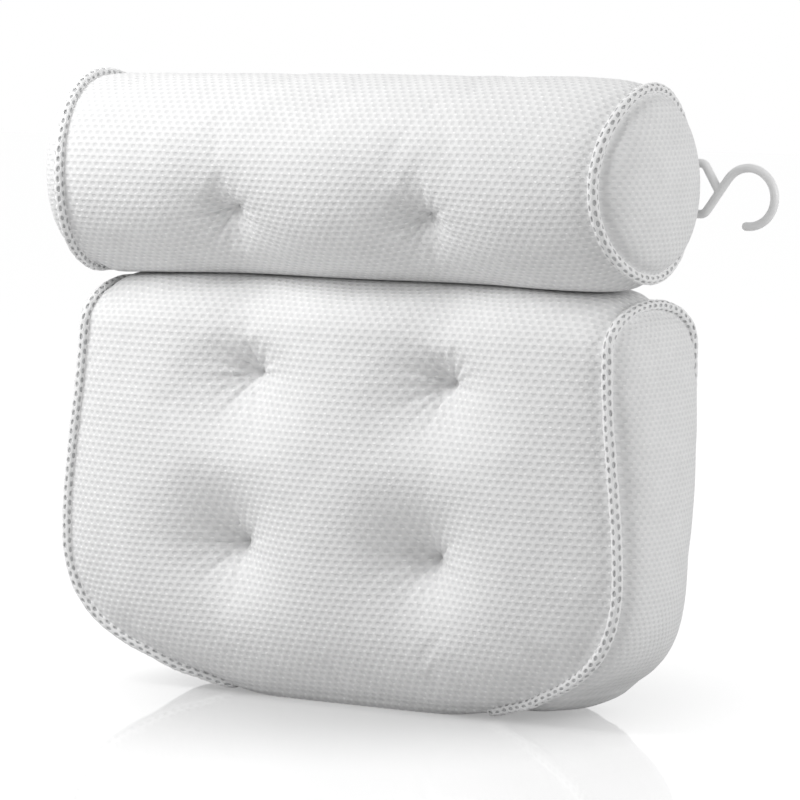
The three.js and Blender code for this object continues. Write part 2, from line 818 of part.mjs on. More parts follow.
function addRoll() {
  const skin = rollSkin();
  const ties = rollTies();
  const cups = rollCups();
  const tieHoles = ties.flatMap(tieCuts);
  const cover = panelSolid(skin, 'cover', { left: seamInset, right: seamInset });
  add('roll_cover', cut(cover, [...tieHoles, ...cups.map(eyeletHole)]), materials.mesh);
  add('roll_fill', cut(fillSolid(skin), [...tieHoles, ...cups.map(cupPocket)]), materials.fill);
  addEnds('roll', skin, { cover: seamInset });
  ties.forEach((tie, index) => add(`roll_tuft_tie_${index + 1}`, tieSolid(tie), materials.thread));
  addCups('roll', cups);
}

function addCups(body, places) {
  places.forEach((place, index) => {
    add(`${body}_eyelet_${index + 1}`, eyeletSolid(place), materials.plastic);
    add(`${body}_suction_cup_${index + 1}`, cupSolid(place), materials.cup);
  });
}

function addFoldAndHook() {
  add('pad_fold_flap', flapSolid(padShoulderZ - flapLap, foldZ - foldGap), materials.mesh);
  add('roll_fold_flap', flapSolid(foldZ + foldGap, rollAxisZ), materials.mesh);
  add('hook_strap', strapSolid(), materials.strap);
  add('hanging_hook', hookSolid(), materials.plastic);
}

addPad();
addRoll();
addFoldAndHook();

export default pillow;
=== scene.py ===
import math
import bmesh
import bpy
import numpy as np
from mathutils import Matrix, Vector
from mathutils.bvhtree import BVHTree
from mathutils.kdtree import KDTree


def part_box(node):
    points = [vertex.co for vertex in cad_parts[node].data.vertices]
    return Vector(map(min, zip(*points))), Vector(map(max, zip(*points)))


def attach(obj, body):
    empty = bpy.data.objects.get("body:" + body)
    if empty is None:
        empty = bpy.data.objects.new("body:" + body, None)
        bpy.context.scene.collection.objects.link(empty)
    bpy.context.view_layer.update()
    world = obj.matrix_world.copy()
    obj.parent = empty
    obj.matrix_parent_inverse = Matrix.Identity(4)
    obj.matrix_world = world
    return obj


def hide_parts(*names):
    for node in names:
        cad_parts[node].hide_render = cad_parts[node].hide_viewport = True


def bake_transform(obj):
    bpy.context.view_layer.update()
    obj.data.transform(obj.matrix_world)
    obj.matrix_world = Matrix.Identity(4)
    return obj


# A white bath pillow of air mesh: a tufted neck roll on a tufted back pad, net bindings on the end
# seams, suction cups behind and a plastic hook. Metres. +X runs along the roll, -Y faces the bather.

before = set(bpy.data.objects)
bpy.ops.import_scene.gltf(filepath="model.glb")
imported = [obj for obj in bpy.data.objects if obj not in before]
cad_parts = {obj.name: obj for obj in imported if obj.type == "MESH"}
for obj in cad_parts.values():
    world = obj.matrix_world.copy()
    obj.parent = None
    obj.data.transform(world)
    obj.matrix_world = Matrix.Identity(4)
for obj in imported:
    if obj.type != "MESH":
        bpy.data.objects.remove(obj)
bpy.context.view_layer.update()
scene = bpy.context.scene
scene.view_settings.view_transform = "Standard"
print("frame loaded:", len(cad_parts), "nodes")


# Small helpers

def clearSelection():
    if bpy.context.object and bpy.context.object.mode != "OBJECT":
        bpy.ops.object.mode_set(mode="OBJECT")
    bpy.ops.object.select_all(action="DESELECT")


def pick(piece):
    clearSelection()
    piece.select_set(True)
    bpy.context.view_layer.objects.active = piece


def applyModifier(piece, kind, **settings):
    pick(piece)
    modifier = piece.modifiers.new(kind.lower(), kind)
    for name, value in settings.items():
        setattr(modifier, name, value)
    bpy.ops.object.modifier_apply(modifier=modifier.name)


def smooth(piece, angle=None):
    pick(piece)
    if angle is None:
        bpy.ops.object.shade_smooth()
    else:
        bpy.ops.object.shade_smooth_by_angle(angle=math.radians(angle))


def turnFacesOut(piece):
    pick(piece)
    bpy.ops.object.mode_set(mode="EDIT")
    bpy.ops.mesh.select_all(action="SELECT")
    bpy.ops.mesh.normals_make_consistent(inside=False)
    bpy.ops.object.mode_set(mode="OBJECT")


def newPiece(name, points, faces):
    mesh = bpy.data.meshes.new(name)
    mesh.from_pydata([tuple(point) for point in points], [], faces)
    piece = bpy.data.objects.new(name, mesh)
    scene.collection.objects.link(piece)
    return piece


def copyOf(model):
    piece = model.copy()
    piece.data = model.data.copy()
    scene.collection.objects.link(piece)
    return piece


def joinPieces(pieces):
    clearSelection()
    for piece in pieces:
        piece.select_set(True)
    bpy.context.view_layer.objects.active = pieces[0]
    if len(pieces) > 1:
        bpy.ops.object.join()
    return bpy.context.object


def settle(piece, name):  # the finished piece's object goes to the origin, with its place in its mesh
    pick(piece)
    bpy.ops.object.transform_apply(location=True, rotation=True, scale=True)
    piece.name = name
    piece.data.name = name
    return piece


def coat(piece, *looks):
    piece.data.materials.clear()
    for look in looks:
        piece.data.materials.append(look)


def handOver(piece, body, slot, *nodes):  # to the body that carries it, in the place of the CAD's nodes
    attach(piece, body)
    if nodes:
        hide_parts(*nodes)


def coordinates(mesh):
    found = np.empty(len(mesh.vertices) * 3)
    mesh.vertices.foreach_get("co", found)
    return found.reshape(-1, 3)


def setCoordinates(mesh, places):
    mesh.vertices.foreach_set("co", np.asarray(places, float).ravel())
    mesh.update()


def vertexNormals(mesh):
    return np.array([vertex.normal[:] for vertex in mesh.vertices])


def mix(low, high, share):
    return low + (high - low) * share


def clamp(value, low=0.0, high=1.0):
    return max(low, min(high, value))


def eased(share):  # starts and ends gently
    share = np.clip(share, 0, 1)
    return share * share * (3 - 2 * share)


# Materials

def newMaterial(name, colour, roughness, **sockets):
    material = bpy.data.materials.new(name)
    material.use_nodes = True
    shader = material.node_tree.nodes["Principled BSDF"]
    shader.inputs["Base Color"].default_value = (*colour, 1)
    shader.inputs["Roughness"].default_value = roughness
    for socket, value in sockets.items():
        shader.inputs[socket.replace("_", " ")].default_value = value
    return material, material.node_tree, shader


def addNode(tree, kind, inputs=None, **settings):
    node = tree.nodes.new(kind)
    for name, value in settings.items():
        setattr(node, name, value)
    for socket, value in (inputs or {}).items():
        if isinstance(value, bpy.types.NodeSocket):
            tree.links.new(value, node.inputs[socket])
        else:
            node.inputs[socket].default_value = value
    return node


def compute(tree, operation, first, second=0.0):
    return addNode(tree, "ShaderNodeMath", {0: first, 1: second}, operation=operation).outputs[0]


def mapRange(tree, value, fromLow, fromHigh, toLow, toHigh, kind="LINEAR"):
    inputs = {0: value, 1: fromLow, 2: fromHigh, 3: toLow, 4: toHigh}
    return addNode(tree, "ShaderNodeMapRange", inputs, interpolation_type=kind).outputs[0]


def noise(tree, place, scale, detail, rough=0.5):
    return addNode(tree, "ShaderNodeTexNoise", {0: place, 2: scale, 3: detail, 4: rough}).outputs[0]


def mixColours(tree, share, low, high):
    return addNode(tree, "ShaderNodeMix", {0: share, 6: low, 7: high}, data_type="RGBA").outputs[2]


def tint(tree, shader, colour, shade):  # the colour, a little lighter or darker from place to place
    toned = addNode(tree, "ShaderNodeVectorMath", {0: colour, 3: shade}, operation="SCALE").outputs[0]
    tree.links.new(toned, shader.inputs["Base Color"])


def addBump(tree, shader, height, strength, depth):
    bump = addNode(tree, "ShaderNodeBump", {"Strength": strength, "Distance": depth, "Height": height})
    tree.links.new(bump.outputs[0], shader.inputs["Normal"])


airMeshLook = {
    "pitch": (0.00525, 0.00365),  # holes along a row, and from row to row
    "holeRadii": (0.00145, 0.00108),
    "softness": 0.5,  # how gently a hole's rim turns down, as a share of its radius
    "thread": (0.82, 0.82, 0.82),
    # painted shade: the holes are coloured darker than the thread, for the shade in the mesh's recesses
    "hole": (0.735, 0.737, 0.741),
    # painted glint: the loops' colour, brighter than the thread
    "knotAndGlint": (1.0, 1.0, 1.0),
    "knotSize": (0.22, 0.25),  # the raised loops between the rows, painted bright as a glint, as shares of the pitch
    "knotRise": 0.8,
    "catchScale": 260.0, "catchShares": (0.25, 1.0),  # some loops get less painted glint, and rise less
    "patchScale": 60.0, "patchShades": (0.97, 1.02),
    "knitScale": 900.0, "knitRise": 0.35,
    "bump": 0.8, "depth": 0.0004,
    "roughness": 0.7, "sheen": 0.12,
}
endMeshLook = {
    # the end cloth's holes also take a painted shade
    **airMeshLook, "pitch": (0.0042, 0.0029), "holeRadii": (0.0011, 0.0008), "hole": (0.765, 0.767, 0.771),
    # a dimmer painted glint on the end cloth's loops
    "knotAndGlint": (0.93, 0.93, 0.93), "depth": 0.0003,
}


def airMeshMaterial(name, look):
    material, tree, shader = newMaterial(name, look["thread"], look["roughness"], Sheen_Weight=look["sheen"],
                                         Sheen_Roughness=0.5, Specular_IOR_Level=0.25)

    def work(operation, first, second=0.0):
        return compute(tree, operation, first, second)

    def ovalAway(u, v, size):  # 0 in the middle of an oval and 1 on its edge
        squares = [work("POWER", work("DIVIDE", along, radius), 2.0) for along, radius in zip((u, v), size)]
        return work("SQRT", work("ADD", *squares))

    cloth = addNode(tree, "ShaderNodeUVMap", uv_map="cloth").outputs[0]
    split = addNode(tree, "ShaderNodeSeparateXYZ", {0: cloth})
    across = work("DIVIDE", split.outputs[0], look["pitch"][0])
    up = work("DIVIDE", split.outputs[1], look["pitch"][1])
    shift = work("MULTIPLY", work("MODULO", work("FLOOR", up), 2.0), 0.5)  # every other row, by half a pitch
    cellU = work("SUBTRACT", work("FRACT", work("ADD", across, shift)), 0.5)
    cellV = work("SUBTRACT", work("FRACT", up), 0.5)
    holeSize = [radius / pitch for radius, pitch in zip(look["holeRadii"], look["pitch"])]
    solid = mapRange(tree, ovalAway(cellU, cellV, holeSize), 1 - look["softness"], 1 + look["softness"],
                     0.0, 1.0, "SMOOTHSTEP")
    below = ovalAway(cellU, work("ADD", cellV, 0.5), look["knotSize"])
    beside = work("SUBTRACT", work("ABSOLUTE", cellU), 0.5)
    above = ovalAway(beside, work("SUBTRACT", cellV, 0.5), look["knotSize"])
    knotAndGlint = mapRange(tree, work("MINIMUM", below, above), 0.3, 1.1, 1.0, 0.0, "SMOOTHSTEP")
    catching = mapRange(tree, noise(tree, cloth, look["catchScale"], 1.0), 0.38, 0.6, *look["catchShares"])
    knotAndGlint = work("MULTIPLY", knotAndGlint, catching)
    # painted shade: the holes are coloured darker than the thread
    colour = mixColours(tree, solid, (*look["hole"], 1), (*look["thread"], 1))
    # painted glint: the loops are coloured brighter than the thread around them
    colour = mixColours(tree, knotAndGlint, colour, (*look["knotAndGlint"], 1))
    patchy = noise(tree, cloth, look["patchScale"], 3.0)
    tint(tree, shader, colour, mapRange(tree, patchy, 0.3, 0.7, *look["patchShades"]))
    knit = noise(tree, cloth, look["knitScale"], 3.0, 0.6)
    raised = work("ADD", solid, work("MULTIPLY", knotAndGlint, look["knotRise"]))
    height = work("ADD", raised, work("MULTIPLY", knit, look["knitRise"]))
    addBump(tree, shader, height, look["bump"], look["depth"])
    return material


def threadMaterial(name, colour, scale, depth):
    material, tree, shader = newMaterial(name, colour, 0.8, Sheen_Weight=0.1)
    place = addNode(tree, "ShaderNodeTexCoord").outputs["Object"]
    fibre = noise(tree, place, scale, 3.0, 0.6)
    tint(tree, shader, colour, mapRange(tree, fibre, 0.3, 0.7, 0.93, 1.04))
    addBump(tree, shader, fibre, 0.5, depth)
    return material


def tapeMaterial(name, colour, rib, depth):
    material, tree, shader = newMaterial(name, colour, 0.75, Sheen_Weight=0.1)
    cloth = addNode(tree, "ShaderNodeUVMap", uv_map="cloth").outputs[0]
    split = addNode(tree, "ShaderNodeSeparateXYZ", {0: cloth})
    along = compute(tree, "SINE", compute(tree, "MULTIPLY", split.outputs[0], 2 * math.pi / rib))
    across = compute(tree, "SINE", compute(tree, "MULTIPLY", split.outputs[1], math.pi / rib))
    weave = compute(tree, "MULTIPLY", along, across)
    tint(tree, shader, colour, mapRange(tree, weave, -1.0, 1.0, 0.86, 1.04))
    addBump(tree, shader, weave, 0.6, depth)
    return material


def plasticMaterial(name, colour, roughness, depth, **sockets):
    material, tree, shader = newMaterial(name, colour, roughness, **sockets)
    place = addNode(tree, "ShaderNodeTexCoord").outputs["Object"]
    flow = noise(tree, place, 260.0, 2.0)
    matt = mapRange(tree, flow, 0.3, 0.7, roughness * 0.85, roughness * 1.2)
    tree.links.new(matt, shader.inputs["Roughness"])
    addBump(tree, shader, flow, 0.3, depth)
    return material


airMesh = airMeshMaterial("airMesh", airMeshLook)
endMesh = airMeshMaterial("endMesh", endMeshLook)
netThread = threadMaterial("netThread", (0.88, 0.88, 0.88), 1400.0, 0.0002)
# the binding's inner cord is coloured grey as painted shade, seen through the net's holes
paintedShadeCord = threadMaterial("paintedShadeCord", (0.58, 0.584, 0.59), 900.0, 0.0003)
sewingThread = threadMaterial("sewingThread", (0.86, 0.86, 0.86), 1600.0, 0.0002)
stuffing = threadMaterial("stuffing", (0.9, 0.9, 0.9), 300.0, 0.001)
wovenTape = tapeMaterial("wovenTape", (0.85, 0.85, 0.85), 0.0011, 0.0002)
whitePlastic = plasticMaterial("whitePlastic", (0.88, 0.88, 0.88), 0.32, 0.00005)
clearVinyl = plasticMaterial("clearVinyl", (0.82, 0.85, 0.87), 0.18, 0.00005, Transmission_Weight=0.35,
                             IOR=1.5)
print("materials ready")


# Cloth skins: the outer surface of a stuffed body on one lattice, with the cloth's own measure as UV

def buildSkin(name, patches, pointAt):
    points, numbers, faces, panels, cloths = [], {}, [], [], []

    def cornerOf(key):
        if key not in numbers:
            numbers[key] = len(points)
            points.append(pointAt(*key))
        return numbers[key]

    for panel, across, up, keyAt, clothAt in patches:
        for a in range(across):
            for b in range(up):
                ring = [(a, b), (a + 1, b), (a + 1, b + 1), (a, b + 1)]
                corners = [cornerOf(keyAt(*place)) for place in ring]
                cloth = [clothAt(keyAt(*place), points[number]) for place, number in zip(ring, corners)]
                kept = [i for i in range(4) if corners[i] != corners[i - 1]]
                if len(kept) < 3:
                    continue
                faces.append([corners[i] for i in kept])
                cloths.append([cloth[i] for i in kept])
                panels.append(panel)
    piece = newPiece(name, points, faces)
    layer = piece.data.uv_layers.new(name="cloth")
    layer.data.foreach_set("uv", [value for cloth in cloths for uv in cloth for value in uv])
    panelOf = piece.data.attributes.new("panel", "INT", "FACE")
    panelOf.data.foreach_set("value", panels)
    return piece, numbers


def sharedByPanels(piece, partsOf):  # the edges or vertices of the mesh where two panels meet
    panels = piece.data.attributes["panel"].data
    owners = {}
    for face in piece.data.polygons:
        for part in partsOf(face):
            owners.setdefault(part, set()).add(panels[face.index].value)
    return {part for part, found in owners.items() if len(found) > 1}


def seamVertices(piece):
    return sharedByPanels(piece, lambda face: face.vertices)


def creaseSeams(piece):
    seams = sharedByPanels(piece, lambda face: face.edge_keys)
    crease = piece.data.attributes.new("crease_edge", "FLOAT", "EDGE")
    for edge in piece.data.edges:
        crease.data[edge.index].value = 1.0 if edge.key in seams else 0.0


def puff(piece, held, caps, puffing):  # pressure fills the cloth out between what is sewn down
    group = piece.vertex_groups.new(name="held")
    for vertex, weight in enumerate(held):
        if weight > 0:
            group.add([vertex], float(weight), "REPLACE")
    modifier = piece.modifiers.new("cloth", "CLOTH")
    cloth = modifier.settings
    cloth.quality = puffing["quality"]
    cloth.mass = puffing["mass"]
    cloth.tension_stiffness = cloth.compression_stiffness = puffing["stiffness"]
    cloth.shear_stiffness = puffing["shear"]
    cloth.bending_stiffness = puffing["bending"]
    cloth.vertex_group_mass = "held"
    cloth.pin_stiffness = 1.0
    cloth.shrink_min = -puffing["spareCloth"]
    cloth.use_pressure = True
    cloth.uniform_pressure_force = puffing["pressure"]
    cloth.effector_weights.gravity = 0.0
    modifier.collision_settings.use_collision = False
    start = coordinates(piece.data)
    for moment in range(1, puffing["frames"] + 1):
        scene.frame_set(moment)
    moved = piece.evaluated_get(bpy.context.evaluated_depsgraph_get()).to_mesh()
    travel = coordinates(moved) - start
    length = np.linalg.norm(travel, axis=1)
    travel *= np.minimum(1, caps / np.maximum(length, 1e-9))[:, None]
    piece.modifiers.remove(modifier)
    piece.vertex_groups.remove(group)
    setCoordinates(piece.data, start + travel)
    scene.frame_set(1)
    print("   puffed", piece.name, "mean travel", round(float(length.mean() * 1000), 2), "mm, most",
          round(float(length.max() * 1000), 2), "mm")


def gather(piece, tufts, up, gathers):  # small pleats that run out from each tuft
    mesh, right = piece.data, (1, 0, 0)
    places, normals = coordinates(mesh), vertexNormals(mesh)
    for number, centre in enumerate(tufts):
        offset = places - np.array(centre)
        x, y = offset @ np.array(right), offset @ np.array(up)
        away = np.hypot(x, y)
        near = np.linalg.norm(offset, axis=1) < gathers["reach"] * 3
        angle = np.arctan2(y, x)
        ripple = np.cos(gathers["count"] * angle + 1.7 * number)  # and a slower wave, turned on at each tuft
        ripple = ripple + 0.5 * np.cos((gathers["count"] // 2) * angle - 0.9 * number)
        fade = np.exp(-(away / gathers["reach"]) ** 2) * (1 - np.exp(-(away / gathers["eye"]) ** 2))
        places = places + normals * (gathers["depth"] * ripple * fade * near)[:, None]
        pinch = gathers["pinch"] * np.exp(-away / gathers["pinchReach"]) * near
        inward = np.cross(np.array(right), np.array(up))
        places = places - inward * pinch[:, None]
    setCoordinates(mesh, places)


def drawSeams(piece, drawn, endsFrom):  # the cloth dips beside a sewn seam, most of all the end panels
    mesh = piece.data
    places = coordinates(mesh)
    away = awayFromSeams(piece, places)
    panels = mesh.attributes["panel"].data
    share = np.full(len(places), drawn["coverShare"])
    for face in mesh.polygons:
        if panels[face.index].value >= endsFrom:
            share[list(face.vertices)] = 1
    dip = drawn["depth"] * share * np.exp(-(away / drawn["reach"]) ** 2)
    dip = dip * (1 - np.exp(-(away / drawn["edge"]) ** 2))
    flat = (places[:, 1] > pad["backY"] - drawn["flatBehind"]) | (places[:, 2] < drawn["flatUnder"])
    setCoordinates(mesh, places - vertexNormals(mesh) * (dip * ~flat)[:, None])


def awayFromSeams(piece, places):
    seams = sorted(seamVertices(piece))
    tree = KDTree(len(seams))
    for number, vertex in enumerate(seams):
        tree.insert(places[vertex], number)
    tree.balance()
    return np.array([tree.find(place)[2] for place in places])


# The cloths give way where the roll rests on the pad, most of all near the ends
def restTogether(lower, upper, resting):
    solids = [(BVHTree.FromObject(piece, bpy.context.evaluated_depsgraph_get()), way)
              for piece, way in ((upper, 1), (lower, -1))]
    moved = []
    for piece, (other, way) in zip((lower, upper), solids):
        places = coordinates(piece.data)
        free = 1 - np.exp(-(awayFromSeams(piece, places) / resting["seamReach"]) ** 2)
        for number, place in enumerate(places):
            if abs(place[2] - resting["height"]) > resting["band"]:
                continue
            gap = other.ray_cast(Vector(place), Vector((0, 0, way)), 2 * resting["band"])[3]
            if gap is None or gap < resting["left"]:
                continue
            outward = (abs(place[0]) - resting["fromX"]) / (resting["toX"] - resting["fromX"])
            reach = mix(resting["midReach"], resting["endReach"], eased(outward))
            share = eased(1 - gap / reach)
            places[number, 2] += way * 0.5 * (gap - resting["left"]) * share * free[number]
        moved.append((piece, places))
    for piece, places in moved:
        setCoordinates(piece.data, places)


def takePanel(skin, panel, name):
    piece = copyOf(skin)
    work = bmesh.new()
    work.from_mesh(piece.data)
    layer = work.faces.layers.int["panel"]
    others = [face for face in work.faces if face[layer] != panel]
    bmesh.ops.delete(work, geom=others, context="FACES")
    work.to_mesh(piece.data)
    work.free()
    return settle(piece, name)


def clothArea(piece):
    mesh = piece.data
    uv = np.empty(len(mesh.loops) * 2)
    mesh.uv_layers["cloth"].data.foreach_get("uv", uv)
    uv = uv.reshape(-1, 2)
    area = 0.0
    for face in mesh.polygons:
        ring = uv[face.loop_start:face.loop_start + face.loop_total]
        x, y = ring[:, 0], ring[:, 1]
        area += abs(float(np.dot(x, np.roll(y, -1)) - np.dot(y, np.roll(x, -1)))) / 2
    return tuple(float(size) for size in uv.max(0) - uv.min(0)), area


cover = {"thickness": 0.0022, "fillDepth": 0.0045, "fillLow": 0.0024, "fillShare": 0.2, "sharp": 60}


def coverPanel(skin, panel, name, body, node, look):
    piece = takePanel(skin, panel, name)
    flat, area = clothArea(piece)
    applyModifier(piece, "SOLIDIFY", thickness=cover["thickness"], offset=-1.0, use_rim=True)
    places = coordinates(piece.data)
    places[:, 2] = np.maximum(places[:, 2], 0)
    setCoordinates(piece.data, places)
    smooth(piece, cover["sharp"])
    coat(piece, look)
    handOver(piece, body, "mesh", node)


def fillPiece(skin, name, body, node):
    piece = copyOf(skin)
    mesh = piece.data
    places = coordinates(mesh) - vertexNormals(mesh) * cover["fillDepth"]
    places[:, 2] = np.maximum(places[:, 2], cover["fillLow"])
    setCoordinates(mesh, places)
    applyModifier(piece, "DECIMATE", ratio=cover["fillShare"])
    smooth(piece)
    coat(piece, stuffing)
    settle(piece, name)
    handOver(piece, body, "fill", node)


# Makes the stuffing and the panels out of the whole skin
def dressSkin(skin, body, fillName, fillNode, panels):
    fillPiece(skin, fillName, body, fillNode)
    for panel, (name, node, look) in enumerate(panels):
        coverPanel(skin, panel, name, body, node, look)
    bpy.data.objects.remove(skin)


# Back pad

pad = {
    "halfWidth": 0.1825, "frontTopTaper": 0.0095, "frontCornerReach": 0.096,
    "backTaper": 0.0175, "backTopTaper": 0.0065, "backCornerReach": 0.036,
    "shoulderZ": 0.208, "middleArch": 0.0324, "endArch": 0.023,
    "cornerOutShare": 0.6, "cornerUpShare": 0.23, "cornerHoldShare": 0.36,
    "frontBaseReach": 0.022, "frontReach": 0.05, "frontTopReach": 0.045, "backBaseReach": 0.038,
    "seamLift": 0.0034, "baseFlatShare": 0.56, "endBulge": 0.02, "endBulgePower": 0.5,
    "crown": 0.014, "baseCrown": 0.004, "crownSpan": 0.24, "crownPower": 4, "rimPower": 6,
    "tuftX": 0.064, "tuftZ": (0.089, 0.186), "tuftSpread": 0.02, "tuftY": -0.031,
    "tuftLean": (-0.0057, 0.0046),  # the tufts aren't sewn straight above each other
    "columns": 9, "columnsToTuft": 3, "cornerRows": 6, "sideRows": 5, "shoulderRows": 2, "steps": 6,
    "archBlendShare": 5 / 13, "finer": (5, 5, 4), "backY": 0.04281,
}
padPuffing = {
    "quality": 5, "mass": 0.3, "stiffness": 12.0, "shear": 5.0, "bending": 0.4,
    "spareCloth": 0.004, "pressure": 4.0, "frames": 20, "cap": 0.004,
    "heldBehind": 0.0005, "heldUnder": 0.0035, "heldTuft": 0.0035,  # what is sewn down or lies on something
    "heldTop": 0.2375, "heldTopHalf": 0.17,
}
tuftShape = {"wide": 1.15, "pointReach": 0.008, "pointShare": 0.4}
tuck = {
    "height": 0.02, "roundIn": 0.012, "roundShare": 0.55, "underIn": 0.013, "lowZ": 0.0008,
    "seamRise": 0.0042, "reach": 0.034, "fade": 0.03, "backShare": 0.35, "bindingZ": 0.0048,
}
backTuck = {
    "depth": 0.022, "roundIn": 0.014, "roundShare": 0.6, "behindIn": 0.004, "height": 0.12, "fade": 0.11,
    "reach": 0.032,
}
seamDip = {"depth": 0.004, "coverShare": 0.3, "reach": 0.008, "edge": 0.0035,
           "flatBehind": 0.002, "flatUnder": 0.004}
padGathers = {"count": 15, "depth": 0.0011, "reach": 0.018, "eye": 0.006, "pinch": 0.007, "pinchReach": 0.005}


def bell(distanceSquared, spread):
    return math.exp(-distanceSquared / (2 * spread ** 2))


def tuftBell(distanceSquared, spread):  # a wide dimple, drawn to a point where the tie pulls the cloth in
    wide = bell(distanceSquared, spread * tuftShape["wide"])
    return mix(wide, math.exp(-math.sqrt(distanceSquared) / tuftShape["pointReach"]), tuftShape["pointShare"])


def cornerBend(row, drawn, held):  # a Bezier curve from the base's slope to upright
    share = min(1, row / pad["cornerRows"])
    return 3 * (1 - share) ** 2 * share * drawn + 3 * (1 - share) * share ** 2 * held + share ** 3


def padPoint(fineColumn, fineRow, fineStep):
    p = pad
    column, row, step = fineColumn / p["finer"][0], fineRow / p["finer"][1], fineStep / p["finer"][2]
    rows = p["cornerRows"] + p["sideRows"] + p["shoulderRows"]
    lowZ, highZ = p["tuftZ"]
    turn = math.pi * step / p["steps"]
    side = abs(column / p["columns"] - 1)
    atEnd = fineColumn in (0, 2 * p["columns"] * p["finer"][0])
    blend = max(0, 1 - (1 - row / rows) / p["archBlendShare"]) ** 2
    depth = mix(step / p["steps"], (1 - math.cos(turn)) / 2, blend)
    arch = p["endArch"] if atEnd else mix(p["middleArch"], p["endArch"], side ** p["rimPower"])
    cornerOut = cornerBend(row, p["cornerOutShare"], 1)
    cornerUp = cornerBend(row, p["cornerUpShare"], p["cornerHoldShare"])
    past = row - p["cornerRows"]
    if past <= 0:
        baseRow = mix(p["seamLift"], lowZ, cornerUp)
    elif past <= p["sideRows"]:
        baseRow = mix(lowZ, highZ, past / p["sideRows"])
    else:
        baseRow = mix(highZ, p["shoulderZ"], (past - p["sideRows"]) / p["shoulderRows"])
    rim = max(0, (side - p["baseFlatShare"]) / (1 - p["baseFlatShare"])) ** 2
    drop = p["seamLift"] * (1 - rim) * max(0, 1 - row / p["cornerRows"]) ** 2
    z = baseRow - drop + arch * math.sin(turn) * blend
    share = clamp((z - lowZ) / (p["shoulderZ"] - lowZ))
    baseShare = clamp((baseRow - lowZ) / (p["shoulderZ"] - lowZ))
    frontTop = p["halfWidth"] - p["frontTopTaper"]
    backHalf, backTop = p["halfWidth"] - p["backTaper"], p["halfWidth"] - p["backTopTaper"]
    if row < p["cornerRows"]:
        front = mix(p["halfWidth"] - p["frontCornerReach"], p["halfWidth"], cornerOut)
        back = mix(backHalf - p["backCornerReach"], backHalf, cornerOut)
        seamY = -mix(p["frontBaseReach"], p["frontReach"], cornerOut)
    else:
        front = mix(p["halfWidth"], frontTop, eased(share))
        back = mix(backHalf, backTop, 1 - (1 - share) ** 2)
        seamY = -mix(p["frontReach"], p["frontTopReach"], baseShare ** 2)
    halfWidth = mix(front, back, depth)
    tuft = p["tuftX"] * min(1, halfWidth / frontTop)
    steps = abs(column - p["columns"])
    beyond = (steps - p["columnsToTuft"]) / (p["columns"] - p["columnsToTuft"])
    x = tuft * steps / p["columnsToTuft"] if beyond <= 0 else mix(tuft, halfWidth, beyond)
    x *= math.copysign(1, column - p["columns"])
    rise = mix(p["baseCrown"], p["crown"], math.sin(math.pi * baseRow / p["crownSpan"]))
    crowned = seamY - rise * (1 - (abs(x) / halfWidth) ** p["crownPower"])
    pull = sum(tuftBell((abs(x) - p["tuftX"]) ** 2 + (baseRow - tuftZ) ** 2, p["tuftSpread"])
               for tuftZ in p["tuftZ"])
    faceY = mix(crowned, max(crowned, p["tuftY"]), min(1, pull))
    y = mix(faceY, p["backBaseReach"] if fineRow == 0 else p["backY"], depth)
    swell = max(0, math.sin(turn) * math.sin(math.pi * row / rows))
    bulge = p["endBulge"] * swell ** p["endBulgePower"] if atEnd else 0
    lowLean, highLean = p["tuftLean"]
    lean = np.interp(baseRow, (p["seamLift"], lowZ, highZ, p["shoulderZ"]),
                     (0, lowLean, highLean, highLean / 2))
    lean *= (1 - (x / halfWidth) ** 2) * (1 - depth)
    return Vector((x + lean + bulge * math.copysign(1, x), y, z))


def padCounts():
    rows = pad["cornerRows"] + pad["sideRows"] + pad["shoulderRows"]
    return 2 * pad["columns"] * pad["finer"][0], rows * pad["finer"][1], pad["steps"] * pad["finer"][2]


def padSkin():
    across, up, deep = padCounts()
    overTop = {}  # how far the cloth has run over the top, from the shoulder
    for column in range(across + 1):
        run, last = 0.0, padPoint(column, up, 0)
        for step in range(deep + 1):
            here = padPoint(column, up, step)
            run += (here - last).length
            overTop[column, step] = run
            last = here
    facing = lambda key, point: (point.x, point.z)
    ending = lambda key, point: (point.y, point.z)
    lying = lambda key, point: (point.x, point.y)
    topping = lambda key, point: (point.x, pad["shoulderZ"] + overTop[key[0], key[2]])
    patches = [
        (0, across, up, lambda a, b: (a, b, 0), facing),
        (0, across, deep, lambda a, b: (a, up, b), topping),
        (1, across, deep, lambda a, b: (a, 0, deep - b), lying),
        (2, across, up, lambda a, b: (across - a, b, deep), facing),
        (3, deep, up, lambda a, b: (0, b, deep - a), ending),
        (4, deep, up, lambda a, b: (across, b, a), ending),
    ]
    return buildSkin("padSkin", patches, padPoint)


def endSeam(column):  # the closed line of the seam round one end of the pad
    across, up, deep = padCounts()
    ring = [(column, row, 0) for row in range(up)] + [(column, up, step) for step in range(deep)]
    ring += [(column, row, deep) for row in range(up, 0, -1)]
    return ring + [(column, 0, step) for step in range(deep, 0, -1)]


padCloths, padNumbers = padSkin()
padStart = coordinates(padCloths.data)
padEnds = {side: [padNumbers[key] for key in endSeam(column)]
           for side, column in (("left", 0), ("right", padCounts()[0]))}


def tuftColumns(body):
    return [(body["columns"] + way * body["columnsToTuft"]) * body["finer"][0] for way in (-1, 1)]


tuftRows = [row * pad["finer"][1] for row in (pad["cornerRows"], pad["cornerRows"] + pad["sideRows"])]
padTufts = [(padPoint(column, row, 0).x, pad["tuftY"], z)
            for row, z in zip(tuftRows, pad["tuftZ"]) for column in tuftColumns(pad)]


